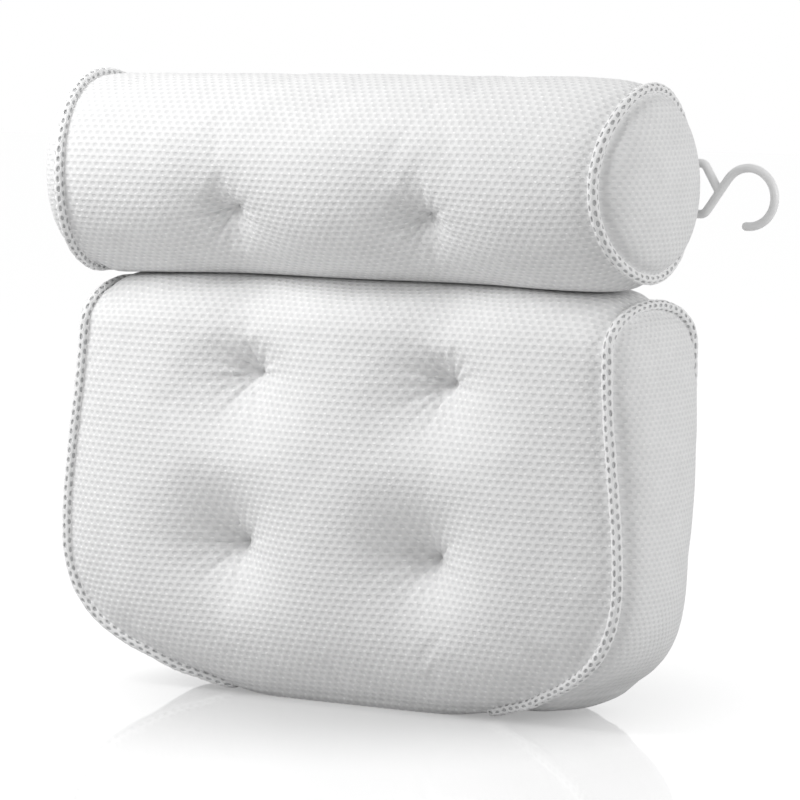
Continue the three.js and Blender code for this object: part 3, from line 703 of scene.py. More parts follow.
def tuckUnder(places):  # the end cloths turn in under the pad, so that their seams stay out of sight
    across, up, deep = padCounts()
    places = places.copy()
    for column, way in ((0, 1), (across, -1)):
        line = np.array([padPoint(column, 0, step)[:] for step in range(deep + 1)])
        ahead = np.gradient(line[:, :2], axis=0)
        run = np.concatenate([[0], np.cumsum(np.linalg.norm(np.diff(line[:, :2], axis=0), axis=1))])
        inward = np.stack([ahead[:, 1], -ahead[:, 0]], axis=1)
        inward *= (way * np.sign(inward[:, 0]) / np.linalg.norm(inward, axis=1))[:, None]
        inward[:, 1] *= eased((run[-1] - run) / tuck["fade"])
        low = np.nonzero((places[:, 2] < tuck["height"]) & (places[:, 0] * way < 0))[0]
        gaps = np.linalg.norm(places[low, None, :2] - line[None, :, :2], axis=2)
        nearest = gaps.argmin(1)
        share = np.clip((tuck["height"] - places[low, 2]) / (tuck["height"] - pad["seamLift"]), 0, 1)
        bend = np.minimum(share / tuck["roundShare"], 1) * math.pi / 2
        under = np.maximum(share - tuck["roundShare"], 0) / (1 - tuck["roundShare"])
        inBy = tuck["roundIn"] * (1 - np.cos(bend)) + tuck["underIn"] * under
        newZ = tuck["height"] - (tuck["height"] - tuck["lowZ"]) * np.sin(bend)
        newZ = newZ + tuck["seamRise"] * under ** 2
        weight = np.exp(-(gaps.min(1) / tuck["reach"]) ** 2) * eased(run[nearest] / tuck["fade"])
        weight *= mix(tuck["backShare"], 1, eased((run[-1] - run[nearest]) / tuck["fade"]))
        places[low, :2] += inward[nearest] * (inBy * weight)[:, None]
        places[low, 2] += (newZ - places[low, 2]) * weight
    return tuckBehind(places)


def tuckBehind(places):  # low down, the end cloths also turn round on to the back
    across, up, deep = padCounts()
    for column, way in ((0, 1), (across, -1)):
        line = np.array([padPoint(column, row, deep)[:] for row in range(up + 1)])
        low = np.nonzero((places[:, 2] < backTuck["height"]) & (places[:, 0] * way < 0)
                         & (places[:, 1] > pad["backY"] - backTuck["depth"]))[0]
        seamX = np.interp(places[low, 2], line[:, 2], line[:, 0])
        share = np.clip(1 - (pad["backY"] - places[low, 1]) / backTuck["depth"], 0, 1)
        bend = np.minimum(share / backTuck["roundShare"], 1) * math.pi / 2
        behind = np.maximum(share - backTuck["roundShare"], 0) / (1 - backTuck["roundShare"])
        inBy = backTuck["roundIn"] * (1 - np.cos(bend)) + backTuck["behindIn"] * behind
        newY = pad["backY"] - backTuck["depth"] * (1 - np.sin(bend))
        weight = np.exp(-((places[low, 0] - seamX) / backTuck["reach"]) ** 2)
        weight = weight * eased((backTuck["height"] - places[low, 2]) / backTuck["fade"])
        places[low, 0] += way * inBy * weight
        places[low, 1] += (newY - places[low, 1]) * weight
    return places


def heldTufts(held, places, tufts, puffing):
    for tuft in tufts:
        held[np.linalg.norm(places - np.array(tuft), axis=1) < puffing["heldTuft"]] = 1
    return held


def padHeld(places, seams):
    p = padPuffing
    held = np.zeros(len(places))
    held[list(seams)] = 1
    held[places[:, 1] > pad["backY"] - p["heldBehind"]] = 1
    held[places[:, 2] < p["heldUnder"]] = 1
    held[(places[:, 2] > p["heldTop"]) & (np.abs(places[:, 0]) < p["heldTopHalf"])] = 1
    return heldTufts(held, places, padTufts, p)


puff(padCloths, padHeld(padStart, seamVertices(padCloths)), np.full(len(padStart), padPuffing["cap"]),
     padPuffing)
creaseSeams(padCloths)
applyModifier(padCloths, "SUBSURF", levels=1, render_levels=1)
setCoordinates(padCloths.data, tuckUnder(coordinates(padCloths.data)))
gather(padCloths, padTufts, (0, 0, 1), padGathers)
drawSeams(padCloths, seamDip, 3)
print("back pad made")


# Neck roll

roll = {
    "radius": 0.056, "axisY": -0.0125, "axisZ": 0.29601, "seamX": 0.181,
    "leftTaper": 0.0005, "rightTaper": 0.007, "taperPower": 10, "topRise": 0.004, "risePower": 3,
    "frontBow": 0.008, "backBow": 0.004, "leftDome": 0.028, "rightDome": 0.023,
    "tuftDepth": 0.019, "tuftX": 0.064, "tuftSpread": 0.02, "tuftTurn": math.pi * 1.15, "tuftLean": -0.0035,
    "columns": 9, "columnsToTuft": 3, "sides": 20, "domeRings": 3, "finer": (5, 4, 4),
    "backY": 0.04281, "lowZ": 0.2407,
}
rollPuffing = {**padPuffing, "cap": 0.0015, "endCap": 0.008, "heldBehind": 0.001, "heldUnder": 0.003}
rollGathers = {**padGathers, "depth": 0.0009, "eye": 0.005, "pinch": 0.006, "pinchReach": 0.0045}
resting = {
    "height": 0.237, "band": 0.03, "left": 0.0004, "fromX": 0.08, "toX": 0.15,
    "midReach": 0.008, "endReach": 0.026, "seamReach": 0.009,
}


def rollPoint(fineColumn, fineSide):
    r = roll
    across = 2 * r["columns"] * r["finer"][0]
    turn = fineSide / r["finer"][1] * 2 * math.pi / r["sides"]
    past = max(0, -fineColumn, fineColumn - across) / r["finer"][2]
    column = clamp(fineColumn, 0, across) / r["finer"][0]
    facing = math.cos(turn)
    seamX = r["seamX"] - (r["frontBow"] if facing < 0 else r["backBow"]) * facing ** 2
    steps = abs(column - r["columns"])
    beyond = (steps - r["columnsToTuft"]) / (r["columns"] - r["columnsToTuft"])
    x = r["tuftX"] * steps / r["columnsToTuft"] if beyond <= 0 else mix(r["tuftX"], seamX, beyond)
    x *= math.copysign(1, column - r["columns"])
    seamRadius = r["radius"] - (r["leftTaper"] if x < 0 else r["rightTaper"])
    alongShare = min(1, abs(x) / seamX)
    radius = mix(r["radius"], seamRadius, alongShare ** r["taperPower"])
    arc = (turn - r["tuftTurn"]) * r["radius"]
    if past == 0:
        radius -= r["tuftDepth"] * tuftBell((abs(x) - r["tuftX"]) ** 2 + arc ** 2, r["tuftSpread"])
    tipTurn = math.pi / 2 * past / r["domeRings"]
    share = math.cos(tipTurn)
    tip = r["seamX"] + r["leftDome" if x < 0 else "rightDome"] - (r["frontBow"] + r["backBow"]) / 2
    rise = r["topRise"] * (x / r["seamX"] + 1) / 2 * max(0, math.sin(turn)) ** r["risePower"]
    y = r["axisY"] + radius * share * math.cos(turn)
    z = r["axisZ"] + (radius * math.sin(turn) + rise) * share
    lean = r["tuftLean"] * (1 - (x / seamX) ** 2) * facing ** 2 if past == 0 and facing < 0 else 0
    x = mix(x, math.copysign(tip, x), math.sin(tipTurn)) + lean
    return Vector((x, min(y, r["backY"]), max(z, r["lowZ"])))


def rollSkin():
    across, around = 2 * roll["columns"] * roll["finer"][0], roll["sides"] * roll["finer"][1]
    rings = roll["domeRings"] * roll["finer"][2]

    def keyFrom(start):
        def keyAt(a, b):
            column = start + a
            atTip = column in (-rings, across + rings)
            return column, 0 if atTip else (around - b) % around
        return keyAt

    def rollCloth(key, point):
        return point.x, -key[1] / around * 2 * math.pi * roll["radius"]

    ending = lambda key, point: (point.y, point.z)
    patches = [
        (0, across, around, keyFrom(0), rollCloth),
        (1, rings, around, keyFrom(-rings), ending),
        (2, rings, around, keyFrom(across), ending),
    ]
    return buildSkin("rollSkin", patches, rollPoint)


def closeTurn(piece, girth):  # the cloth's measure runs on over the place where the turn starts again
    layer = piece.data.uv_layers["cloth"].data
    panels = piece.data.attributes["panel"].data
    for face in piece.data.polygons:
        rows = [layer[loop].uv[1] for loop in face.loop_indices]
        if panels[face.index].value > 0 or max(rows) - min(rows) < girth / 2:
            continue
        for loop in face.loop_indices:
            if layer[loop].uv[1] > -girth / 2:
                layer[loop].uv[1] -= girth


rollCloths = rollSkin()[0]
closeTurn(rollCloths, 2 * math.pi * roll["radius"])
rollStart = coordinates(rollCloths.data)
rollAround = roll["sides"] * roll["finer"][1]
rollAcross = 2 * roll["columns"] * roll["finer"][0]
rollEnds = {side: [rollPoint(column, number) for number in range(rollAround)]
            for side, column in (("left", 0), ("right", rollAcross))}
tuftRadius = roll["radius"] - roll["tuftDepth"]
tuftSide = round(roll["tuftTurn"] / (2 * math.pi) * rollAround)
rollTuftOut = (0, math.cos(roll["tuftTurn"]), math.sin(roll["tuftTurn"]))
rollTuftUp = (0, math.sin(roll["tuftTurn"]), -math.cos(roll["tuftTurn"]))
rollTufts = [(rollPoint(column, tuftSide).x, roll["axisY"] + tuftRadius * rollTuftOut[1],
              roll["axisZ"] + tuftRadius * rollTuftOut[2]) for column in tuftColumns(roll)]


def rollHeld(places, seams):
    held = np.zeros(len(places))
    held[list(seams)] = 1
    held[places[:, 1] > roll["backY"] - rollPuffing["heldBehind"]] = 1
    held[places[:, 2] < roll["lowZ"] + rollPuffing["heldUnder"]] = 1
    return heldTufts(held, places, rollTufts, rollPuffing)


pastSeam = np.abs(rollStart[:, 0]) > roll["seamX"] - roll["backBow"]
puff(rollCloths, rollHeld(rollStart, seamVertices(rollCloths)),
     np.where(pastSeam, rollPuffing["endCap"], rollPuffing["cap"]), rollPuffing)
creaseSeams(rollCloths)
applyModifier(rollCloths, "SUBSURF", levels=1, render_levels=1)
gather(rollCloths, rollTufts, rollTuftUp, rollGathers)
drawSeams(rollCloths, seamDip, 1)
restTogether(padCloths, rollCloths, resting)
dressSkin(padCloths, "pad", "padStuffing", "pad_fill", [
    ("padFrontCloth", "pad_front_panel", airMesh),
    ("padBaseCloth", "pad_base_panel", airMesh),
    ("padBackCloth", "pad_back_panel", airMesh),
    ("padEndClothLeft", "pad_end_panel_left", endMesh),
    ("padEndClothRight", "pad_end_panel_right", endMesh),
])
dressSkin(rollCloths, "roll", "rollStuffing", "roll_fill", [
    ("rollCloth", "roll_cover", airMesh),
    ("rollEndClothLeft", "roll_end_panel_left", endMesh),
    ("rollEndClothRight", "roll_end_panel_right", endMesh),
])
print("neck roll made")


# Net bindings over the end seams

binding = {
    "pitch": 0.0055, "radius": 0.0032, "core": 0.0023, "rows": 6, "hole": 0.6, "strand": 0.001,
    "uneven": 0.0003, "coreSides": 10, "lift": 0.0006,
}


def smoothLoop(line, count):  # the closed line again, as evenly spaced points
    line = np.array(line)
    steps = np.linalg.norm(np.roll(line, -1, axis=0) - line, axis=1)
    run = np.concatenate([[0], np.cumsum(steps)])
    closed = np.vstack([line, line[:1]])
    wanted = np.linspace(0, run[-1], count, endpoint=False)
    return np.stack([np.interp(wanted, run, closed[:, axis]) for axis in range(3)], axis=1), run[-1]


def loopFrames(line, inside):
    ahead = np.roll(line, -1, axis=0) - np.roll(line, 1, axis=0)
    ahead /= np.linalg.norm(ahead, axis=1)[:, None]
    out = line - np.array(inside)
    out -= ahead * (out * ahead).sum(1)[:, None]
    out /= np.linalg.norm(out, axis=1)[:, None]
    return out, np.cross(ahead, out)


def makeBinding(name, line, inside, body, node):
    length = smoothLoop(line, 1)[1]
    cells = round(length / binding["pitch"])
    spine, _ = smoothLoop(line, 4 * cells)
    for _ in range(2):
        spine = (np.roll(spine, 1, axis=0) + 2 * spine + np.roll(spine, -1, axis=0)) / 4
    out, side = loopFrames(spine, inside)

    def place(alongShare, turn, radius):
        spot = (alongShare % 1) * len(spine)
        low = int(spot) % len(spine)
        high, part = (low + 1) % len(spine), spot - int(spot)
        centre, outward, sideways = (mix(along[low], along[high], part) for along in (spine, out, side))
        across = math.cos(turn) * outward + math.sin(turn) * sideways
        return centre + across * radius + outward * binding["lift"]

    points, numbers, faces = [], {}, []
    jitter = np.random.default_rng(len(line))

    def netPlace(alongShare, turn):  # hand-fed net lies a little unevenly
        slip = jitter.uniform(-1, 1, 3) * binding["uneven"]
        return place(alongShare + slip[0] / length, turn + slip[1] / binding["radius"],
                     binding["radius"] + slip[2])

    def corner(key):  # key: eighths of a pitch along, sixths of a row round
        key = (key[0] % (8 * cells), key[1] % (6 * binding["rows"]))
        if key not in numbers:
            numbers[key] = len(points)
            turn = key[1] / (6 * binding["rows"]) * 2 * math.pi
            points.append(netPlace(key[0] / (8 * cells), turn))
        return numbers[key]

    hexagon = [(0, -4), (4, -2), (4, 2), (0, 4), (-4, 2), (-4, -2)]
    for row in range(binding["rows"]):
        for cell in range(cells):
            middle = (8 * cell + 4 * (row % 2), 6 * row)
            outer = [corner((middle[0] + a, middle[1] + b)) for a, b in hexagon]
            turn = middle[1] / (6 * binding["rows"]) * 2 * math.pi
            inner = []
            for a, b in hexagon:
                inner.append(len(points))
                points.append(netPlace((middle[0] + a * binding["hole"]) / (8 * cells),
                                       turn + b * binding["hole"] / (6 * binding["rows"]) * 2 * math.pi))
            for i in range(6):
                j = (i + 1) % 6
                faces.append([outer[i], outer[j], inner[j], inner[i]])
    net = newPiece(name, points, faces)
    turnFacesOut(net)
    applyModifier(net, "SOLIDIFY", thickness=binding["strand"], offset=-1.0)
    applyModifier(net, "SUBSURF", levels=1, render_levels=1)
    coat(net, netThread, paintedShadeCord)

    sides, count = binding["coreSides"], 2 * cells
    corePoints = [place(i / count, 2 * math.pi * j / sides, binding["core"])
                  for i in range(count) for j in range(sides)]
    coreFaces = [[i * sides + j, ((i + 1) % count) * sides + j,
                  ((i + 1) % count) * sides + (j + 1) % sides, i * sides + (j + 1) % sides]
                 for i in range(count) for j in range(sides)]
    core = newPiece(name + "Core", corePoints, coreFaces)
    coat(core, netThread, paintedShadeCord)
    # the core's faces take the grey painted-shade material
    core.data.polygons.foreach_set("material_index", [1] * len(coreFaces))
    turnFacesOut(core)
    net = joinPieces([net, core])
    smooth(net)
    settle(net, name)
    handOver(net, body, "binding", node)


for side, numbers in padEnds.items():
    line = tuckUnder(padStart[numbers])
    line[:, 2] = np.maximum(line[:, 2], tuck["bindingZ"])
    inside = (math.copysign(0.1, -1 if side == "left" else 1), 0.0, 0.11)
    makeBinding("padBinding" + side.capitalize(), line, inside, "pad", "pad_edge_binding_" + side)
for side, line in rollEnds.items():
    inside = (math.copysign(0.13, -1 if side == "left" else 1), roll["axisY"], roll["axisZ"])
    makeBinding("rollBinding" + side.capitalize(), line, inside, "roll", "roll_edge_binding_" + side)
print("bindings made")


# Ties through the tufts: a thread through the body, with a tack of looped stitches at each end

tie = {
    "loops": 3, "loopRadius": 0.0021, "thread": 0.00042, "gap": 0.00105, "flatten": 0.45, "sink": 0.0002,
    "core": 0.000588, "sides": 8, "loopSteps": 20, "above": 0.0006, "padBack": 0.0004, "rollBack": 0.0002,
}


def threadLoop(place, squeeze):
    clearSelection()
    bpy.ops.mesh.primitive_torus_add(major_radius=tie["loopRadius"], minor_radius=tie["thread"],
                                     major_segments=tie["loopSteps"], minor_segments=tie["sides"],
                                     location=place)
    bpy.ops.transform.resize(value=(1, squeeze, 1), center_override=place)
    return bpy.context.object


def makeTie(name, front, back, body, node):
    front, back = Vector(front), Vector(back)
    length = (back - front).length
    loops = [threadLoop((0, y, (number - (tie["loops"] - 1) / 2) * tie["gap"]), tie["flatten"])
             for y in (tie["sink"], length - tie["sink"]) for number in range(tie["loops"])]
    clearSelection()
    bpy.ops.mesh.primitive_cylinder_add(vertices=tie["sides"], radius=tie["core"], depth=length,
                                        location=(0, length / 2, 0), rotation=(math.radians(90), 0, 0))
    piece = joinPieces([bpy.context.object] + loops)
    bpy.ops.object.transform_apply(location=True, rotation=True, scale=True)
    piece.rotation_euler = (math.atan2(back.z - front.z, back.y - front.y), 0, 0)
    piece.location = front
    coat(piece, sewingThread)
    smooth(piece)
    settle(piece, name)
    handOver(piece, body, "thread", node)


for number, tuft in enumerate(padTufts, 1):
    front = Vector(tuft) + Vector((0, 1, 0)) * (padGathers["pinch"] - tie["above"])
    back = (tuft[0], pad["backY"] + tie["padBack"], tuft[2])
    makeTie(f"padTie{number}", front, back, "pad", f"pad_tuft_tie_{number}")
for number, tuft in enumerate(rollTufts, 1):
    inward = Vector(rollTuftOut) * -1
    front = Vector(tuft) + inward * (rollGathers["pinch"] - tie["above"])
    back = Vector((tuft[0], roll["axisY"], roll["axisZ"])) + inward * (roll["radius"] + tie["rollBack"])
    makeTie(f"rollTie{number}", front, back, "roll", f"roll_tuft_tie_{number}")
print("tufts tied")


# Suction cups and the eyelets that they turn in: round pieces about +Y, behind the cloth

cup = {
    "sides": 48, "rim": 0.028, "rimThickness": 0.0013, "reach": 0.014, "hollow": 0.0065, "bellSteps": 7,
    "hub": 0.0085, "hubHeight": 0.003, "neck": 0.004, "shoulder": 0.0019, "round": 0.0005,
    "head": 0.0062, "headHeight": 0.004, "headRounds": ((0.5, 1), (0.8, 0.65)), "headGap": 0.0003,
    "headEdge": 0.0004, "headTopShare": 0.94,
}
eyelet = {
    "sides": 40, "bore": 0.0043, "barrel": 0.006, "flange": 0.0085, "flangeThickness": 0.0013,
    "inner": -0.0033, "outer": 0.0003, "round": 0.0003,
}


def turned(name, profile, sides, closed, rounding):  # extrudes a circle through (radius, y) stations
    clearSelection()
    radius, y = profile[0]
    ends = "NOTHING" if closed else "NGON"
    bpy.ops.mesh.primitive_circle_add(vertices=sides, radius=radius, fill_type=ends, location=(0, y, 0),
                                      rotation=(math.pi / 2, 0, 0))
    piece = bpy.context.object
    bpy.ops.object.mode_set(mode="EDIT")
    bpy.ops.mesh.select_all(action="SELECT")
    for station, following in zip(profile, profile[1:] + (profile[:1] if closed else [])):
        bpy.ops.mesh.extrude_region_move(TRANSFORM_OT_translate={"value": (0, following[1] - station[1], 0)})
        wider = following[0] / station[0]
        bpy.ops.transform.resize(value=(wider, 1, wider), center_override=(0, following[1], 0))
    bpy.ops.mesh.select_all(action="SELECT")
    bpy.ops.mesh.remove_doubles(threshold=0.00001)
    bpy.ops.mesh.normals_make_consistent(inside=False)
    bpy.ops.object.mode_set(mode="OBJECT")
    applyModifier(piece, "BEVEL", width=rounding, segments=3, limit_method="ANGLE",
                  angle_limit=math.radians(35))
    smooth(piece, 40)
    return settle(piece, name)


def cupProfile():
    c = cup
    headTop = eyelet["inner"] - eyelet["flangeThickness"] - c["headGap"]
    hubTop = c["shoulder"] + c["hubHeight"]
    profile = [(c["head"] * out, headTop - c["headHeight"] * down) for out, down in c["headRounds"]]
    profile += [(c["head"], headTop - c["headEdge"]), (c["head"] * c["headTopShare"], headTop),
                (c["neck"], headTop), (c["neck"], c["shoulder"]),
                (c["hub"], c["shoulder"]), (c["hub"], hubTop)]
    for step in range(1, c["bellSteps"] + 1):
        share = step / c["bellSteps"]
        y = mix(hubTop, c["reach"] - c["rimThickness"], share ** 2)
        profile.append((mix(c["hub"], c["rim"], share), y))
    profile.append((c["rim"], c["reach"]))
    for step in range(c["bellSteps"]):
        share = 1 - step / c["bellSteps"]
        profile.append(((c["rim"] - c["rimThickness"]) * share, c["reach"] - c["hollow"] * (1 - share ** 2)))
    return profile


def eyeletProfile():
    e = eyelet
    return [(e["bore"], e["inner"] - e["flangeThickness"]), (e["flange"], e["inner"] - e["flangeThickness"]),
            (e["flange"], e["inner"]), (e["barrel"], e["inner"]), (e["barrel"], e["outer"]),
            (e["flange"], e["outer"]), (e["flange"], e["outer"] + e["flangeThickness"]),
            (e["bore"], e["outer"] + e["flangeThickness"])]


def placeCopy(model, name, place, look, body, slot, node):
    piece = copyOf(model)
    pick(piece)
    bpy.ops.transform.translate(value=place)
    settle(piece, name)
    coat(piece, look)
    handOver(piece, body, slot, node)


cupModel = turned("cupModel", cupProfile(), cup["sides"], False, cup["round"])
eyeletModel = turned("eyeletModel", eyeletProfile(), eyelet["sides"], True, eyelet["round"])
for body, count in (("pad", 4), ("roll", 2)):
    for number in range(1, count + 1):
        eyeletNode = f"{body}_eyelet_{number}"
        low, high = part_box(eyeletNode)
        place = ((low[0] + high[0]) / 2, pad["backY"], (low[2] + high[2]) / 2)
        placeCopy(cupModel, f"{body}Cup{number}", place, clearVinyl, f"{body}_cup_{number}", "cup",
                  f"{body}_suction_cup_{number}")
        placeCopy(eyeletModel, f"{body}Eyelet{number}", place, whitePlastic, body, "plastic", eyeletNode)
for model in (cupModel, eyeletModel):
    bpy.data.objects.remove(model)
print("cups and eyelets made")


# Fold strip between the pad and the roll, and the strap that holds the hook's bar

strip = {
    "halfWidth": 0.062, "low": 0.192, "high": 0.296, "outY": 0.0451, "thickness": 0.0016,
    "hem": 0.005, "hemRise": 0.0005, "columns": 62, "rows": 52, "foldZ": 0.237, "foldReach": 0.012,
    "sewnIn": (0.003, 0.011),
}
strap = {
    "endX": 0.134, "barX": 0.172, "barY": 0.04741, "middleZ": 0.29261, "width": 0.021, "thickness": 0.0013,
    "lowY": 0.04386, "highY": 0.04545, "round": 0.00355, "arcSteps": 14, "across": 8, "runSteps": 8,
    "roundTo": math.radians(200), "lipRise": 0.0004, "backX": 0.007,
    "sewnIn": 0.003, "sewnTo": 0.019, "edgeIn": 0.0025,
}
stitch = {"length": 0.0026, "thickness": 0.0005, "pitch": 0.0038, "rise": 0.0001}


def sewnLine(start, end):  # stitches in a row, each a thread that dips into the cloth at both its ends
    start, end = Vector(start), Vector(end)
    count = max(2, round((end - start).length / stitch["pitch"]))
    lean = math.atan2(end.z - start.z, end.x - start.x)
    pieces = []
    for number in range(count):
        place = start.lerp(end, (number + 0.5) / count)
        clearSelection()
        bpy.ops.mesh.primitive_uv_sphere_add(segments=8, ring_count=6, radius=0.5, location=place)
        piece = bpy.context.object
        piece.scale = (stitch["length"], stitch["thickness"], stitch["thickness"])
        piece.rotation_euler = (0, -lean, 0)
        bpy.ops.object.transform_apply(location=False, rotation=True, scale=True)
        pieces.append(piece)
    return pieces


def makeStitches(name, lines, body):
    piece = joinPieces([part for line in lines for part in sewnLine(*line)])
    coat(piece, sewingThread)
    smooth(piece)
    settle(piece, name)
    handOver(piece, body, "thread")


def makeStrip():
    s = strip

    def stripPoint(a, b):
        x, z = mix(s["halfWidth"], -s["halfWidth"], a / s["columns"]), mix(s["low"], s["high"], b / s["rows"])
        edge = min(s["halfWidth"] - abs(x), z - s["low"], s["high"] - z)
        return Vector((x, s["outY"] - s["hemRise"] * clamp(edge / s["hem"]), z))

    patch = (0, s["columns"], s["rows"], lambda a, b: (a, b), lambda key, point: (point.x, point.z))
    piece, _ = buildSkin("foldStrip", [patch], stripPoint)
    applyModifier(piece, "SOLIDIFY", thickness=s["thickness"], offset=-1.0, use_rim=True)
    smooth(piece, 50)
    coat(piece, airMesh)
    settle(piece, "foldStrip")
    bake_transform(piece)
    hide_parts("pad_fold_flap", "roll_fold_flap")
    near, far = s["sewnIn"]
    top, side = s["outY"] + stitch["rise"], s["halfWidth"] - near
    for body, heights in (("pad", (s["low"] + near, s["low"] + far)),
                          ("roll", (s["high"] - far, s["high"] - near))):
        makeStitches(body + "FoldStitches", [((-side, top, z), (side, top, z)) for z in heights], body)


def makeStrap():
    s = strap
    bar, steps = Vector((s["barX"], s["barY"], 0)), s["runSteps"]
    line = [Vector((mix(s["endX"], s["barX"], step / steps), s["lowY"], 0)) for step in range(steps)]
    for step in range(s["arcSteps"] + 1):
        turn = mix(-math.pi / 2, s["roundTo"], step / s["arcSteps"])
        line.append(bar + Vector((math.cos(turn), math.sin(turn), 0)) * s["round"])
    line[-1].y = max(line[-1].y, s["highY"] + s["lipRise"])
    line += [Vector((mix(s["barX"] - s["backX"], s["endX"], step / (steps - 1)), s["highY"], 0))
             for step in range(steps)]
    runs = [0.0]
    for before, here in zip(line, line[1:]):
        runs.append(runs[-1] + (here - before).length)
    low, high = s["middleZ"] - s["width"] / 2, s["middleZ"] + s["width"] / 2

    def strapPoint(a, b):
        return Vector((line[a].x, line[a].y, mix(low, high, b / s["across"])))

    patch = (0, len(line) - 1, s["across"], lambda a, b: (a, b),
             lambda key, point: (runs[key[0]], point.z))
    piece, _ = buildSkin("hookStrap", [patch], strapPoint)
    applyModifier(piece, "SOLIDIFY", thickness=s["thickness"], offset=0.0, use_rim=True)
    applyModifier(piece, "SUBSURF", levels=1, render_levels=1)
    smooth(piece, 50)
    settle(piece, "hookStrap")
    coat(piece, wovenTape)
    handOver(piece, "roll", "strap", "hook_strap")
    top = s["highY"] + s["thickness"] / 2 + stitch["rise"]
    left, right = s["endX"] + s["sewnIn"], s["endX"] + s["sewnTo"]
    down, up = low + s["edgeIn"], high - s["edgeIn"]
    corners = [(left, top, down), (right, top, down), (right, top, up), (left, top, up)]
    makeStitches("strapStitches", list(zip(corners, corners[1:] + corners[:1])) +
                 [(corners[0], corners[2]), (corners[1], corners[3])], "roll")


makeStrip()
makeStrap()
print("fold strip and strap made")


# Hanging hook: one bent rod whose bar lies in the strap, with the loop's other leg run into the shank

hook = {
    "rod": 0.0025, "barX": strap["barX"], "barY": strap["barY"], "middleZ": strap["middleZ"],
    "loopHalf": 0.014, "legX": 0.181,
    "bend": 0.0026, "bendSteps": 5, "arcX": 0.2084, "arcZ": 0.28871, "arcRadius": 0.016,
    "tipTurn": math.radians(-95), "arcSteps": 26, "ridgeShare": 0.63, "voxel": 0.0004, "relax": 8,
}


def bentLine(corners):  # straight runs, with a rounded bend at each corner between the ends
    line = [corners[0]]
    for before, here, after in zip(corners, corners[1:], corners[2:]):
        start = here + (before - here).normalized() * hook["bend"]
        end = here + (after - here).normalized() * hook["bend"]
        for step in range(hook["bendSteps"] + 1):
            share = step / hook["bendSteps"]
            line.append(start.lerp(here, share).lerp(here.lerp(end, share), share))
    return line + [corners[-1]]


def makeRod(line):
    clearSelection()
    bpy.ops.curve.primitive_nurbs_path_add(location=(0, 0, 0))
    path = bpy.context.object
    path.data.splines.clear()
    spline = path.data.splines.new("POLY")
    spline.points.add(len(line) - 1)
    for point, place in zip(spline.points, line):
        point.co = (*place, 1)
    path.data.bevel_depth = hook["rod"]
    path.data.bevel_resolution = 5
    path.data.use_fill_caps = True
    bpy.ops.object.convert(target="MESH")
    return bpy.context.object


def makeHook():
    h = hook
    place = lambda x, z: Vector((x, h["barY"], z))
    low, high = h["middleZ"] - h["loopHalf"], h["middleZ"] + h["loopHalf"]
    foot, centre = place(h["legX"], low), place(h["arcX"], h["arcZ"])
    reach = (centre - foot).length
    aim = math.atan2(centre.z - foot.z, centre.x - foot.x) + math.asin(h["arcRadius"] / reach)
    shankEnd = foot + Vector((math.cos(aim), 0, math.sin(aim))) * math.sqrt(reach ** 2 - h["arcRadius"] ** 2)
    shank = bentLine([place(h["barX"], h["middleZ"]), place(h["barX"], low), foot, shankEnd])
    for step in range(1, h["arcSteps"] + 1):
        turn = mix(aim + math.pi / 2, h["tipTurn"], step / h["arcSteps"])
        shank.append(centre + Vector((math.cos(turn), 0, math.sin(turn))) * h["arcRadius"])
    loop = bentLine([place(h["barX"], h["middleZ"] - h["rod"]), place(h["barX"], high),
                     place(h["legX"], high), foot.lerp(shankEnd, h["ridgeShare"])])
    rods = [makeRod(shank), makeRod(loop)]
    clearSelection()
    bpy.ops.mesh.primitive_uv_sphere_add(segments=24, ring_count=14, radius=h["rod"], location=shank[-1])
    piece = joinPieces(rods + [bpy.context.object])
    applyModifier(piece, "REMESH", mode="VOXEL", voxel_size=h["voxel"])
    applyModifier(piece, "SMOOTH", factor=0.5, iterations=h["relax"])
    smooth(piece)
    settle(piece, "hangingHook")
    coat(piece, whitePlastic)
    handOver(piece, "hook", "plastic", "hanging_hook")


makeHook()
print("hook made")


# Camera, light and floor

camera = {"lens": 202.5, "place": (1.3676, -2.1223, 0.42715), "target": (0.01303, 0.0, 0.17103)}
lighting = {
    "world": 0.5, "target": (0, 0, 0.15),
    "key": 9.0, "keyPlace": (-0.58, -0.64, 0.95), "keySize": 0.6,
    "fill": 16.0, "fillPlace": (2.2, 0.3, 0.9), "fillSize": 1.4,
}
floor = {
    "size": 12.0, "colour": 0.38, "shine": 0.3, "roughness": 0.05,
    "nearGlow": 0.43, "farGlow": 0.8, "near": 0.05, "far": 0.24,  # paler away from the pillow: the lower glow near it is a painted shadow round its foot
}


def aim(thing, target):
    thing.rotation_euler = (Vector(target) - thing.location).to_track_quat("-Z", "Y").to_euler()


def makeCamera():
    data = bpy.data.cameras.new("camera")
    data.lens = camera["lens"]
    data.sensor_width = 36.0
    data.clip_end = 50.0
    eye = bpy.data.objects.new("camera", data)
    eye.location = camera["place"]
    scene.collection.objects.link(eye)
    aim(eye, camera["target"])
    scene.camera = eye


def makeLight(name):
    data = bpy.data.lights.new(name + "Light", "AREA")
    data.shape = "SQUARE"
    data.size = lighting[name + "Size"]
    data.energy = lighting[name]
    lamp = bpy.data.objects.new(name + "Light", data)
    lamp.location = lighting[name + "Place"]
    scene.collection.objects.link(lamp)
    aim(lamp, lighting["target"])


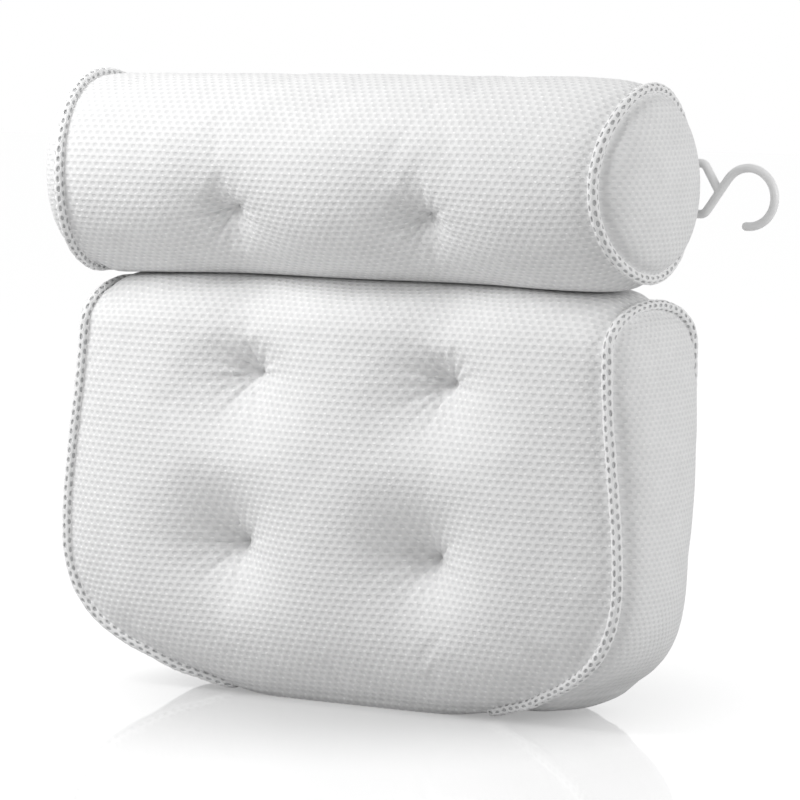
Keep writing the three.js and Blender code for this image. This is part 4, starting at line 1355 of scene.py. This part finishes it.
def seenDirectly(tree):  # 1 for rays that meet the backdrop from the camera, from gloss or through glass
    path = addNode(tree, "ShaderNodeLightPath")
    either = compute(tree, "MAXIMUM", path.outputs["Is Camera Ray"], path.outputs["Is Glossy Ray"])
    return compute(tree, "MAXIMUM", either, path.outputs["Is Transmission Ray"])


def makeWorld():
    world = bpy.data.worlds.new("studio")
    scene.world = world
    world.use_nodes = True
    tree = world.node_tree
    background = tree.nodes["Background"]
    background.inputs[0].default_value = (1, 1, 1, 1)
    strength = mapRange(tree, seenDirectly(tree), 0.0, 1.0, lighting["world"], 1.0)
    tree.links.new(strength, background.inputs[1])


def makeFloor():
    clearSelection()
    bpy.ops.mesh.primitive_plane_add(size=floor["size"], location=(0, 0, 0))
    plane = bpy.context.object
    plane.name = "floor"
    material = bpy.data.materials.new("floor")
    material.use_nodes = True
    tree = material.node_tree
    tree.nodes.remove(tree.nodes["Principled BSDF"])
    matt = addNode(tree, "ShaderNodeBsdfDiffuse", {0: (*[floor["colour"]] * 3, 1)})
    glow = addNode(tree, "ShaderNodeEmission", {0: (1, 1, 1, 1)})
    place = addNode(tree, "ShaderNodeTexCoord").outputs["Object"]
    away = addNode(tree, "ShaderNodeVectorMath", {0: place}, operation="LENGTH").outputs["Value"]
    # painted shadow: the floor glows less near the pillow
    paler = mapRange(tree, away, floor["near"], floor["far"], floor["nearGlow"], floor["farGlow"],
                     "SMOOTHSTEP")
    tree.links.new(compute(tree, "MULTIPLY", seenDirectly(tree), paler), glow.inputs[1])
    lit = addNode(tree, "ShaderNodeAddShader", {0: matt.outputs[0], 1: glow.outputs[0]})
    gloss = addNode(tree, "ShaderNodeBsdfAnisotropic", {0: (1, 1, 1, 1), 1: floor["roughness"]})
    both = addNode(tree, "ShaderNodeMixShader", {0: floor["shine"], 1: lit.outputs[0], 2: gloss.outputs[0]})
    tree.links.new(both.outputs[0], tree.nodes["Material Output"].inputs[0])
    plane.data.materials.append(material)


makeCamera()
makeLight("key")
makeLight("fill")
makeWorld()
makeFloor()
print("camera, light and floor made")
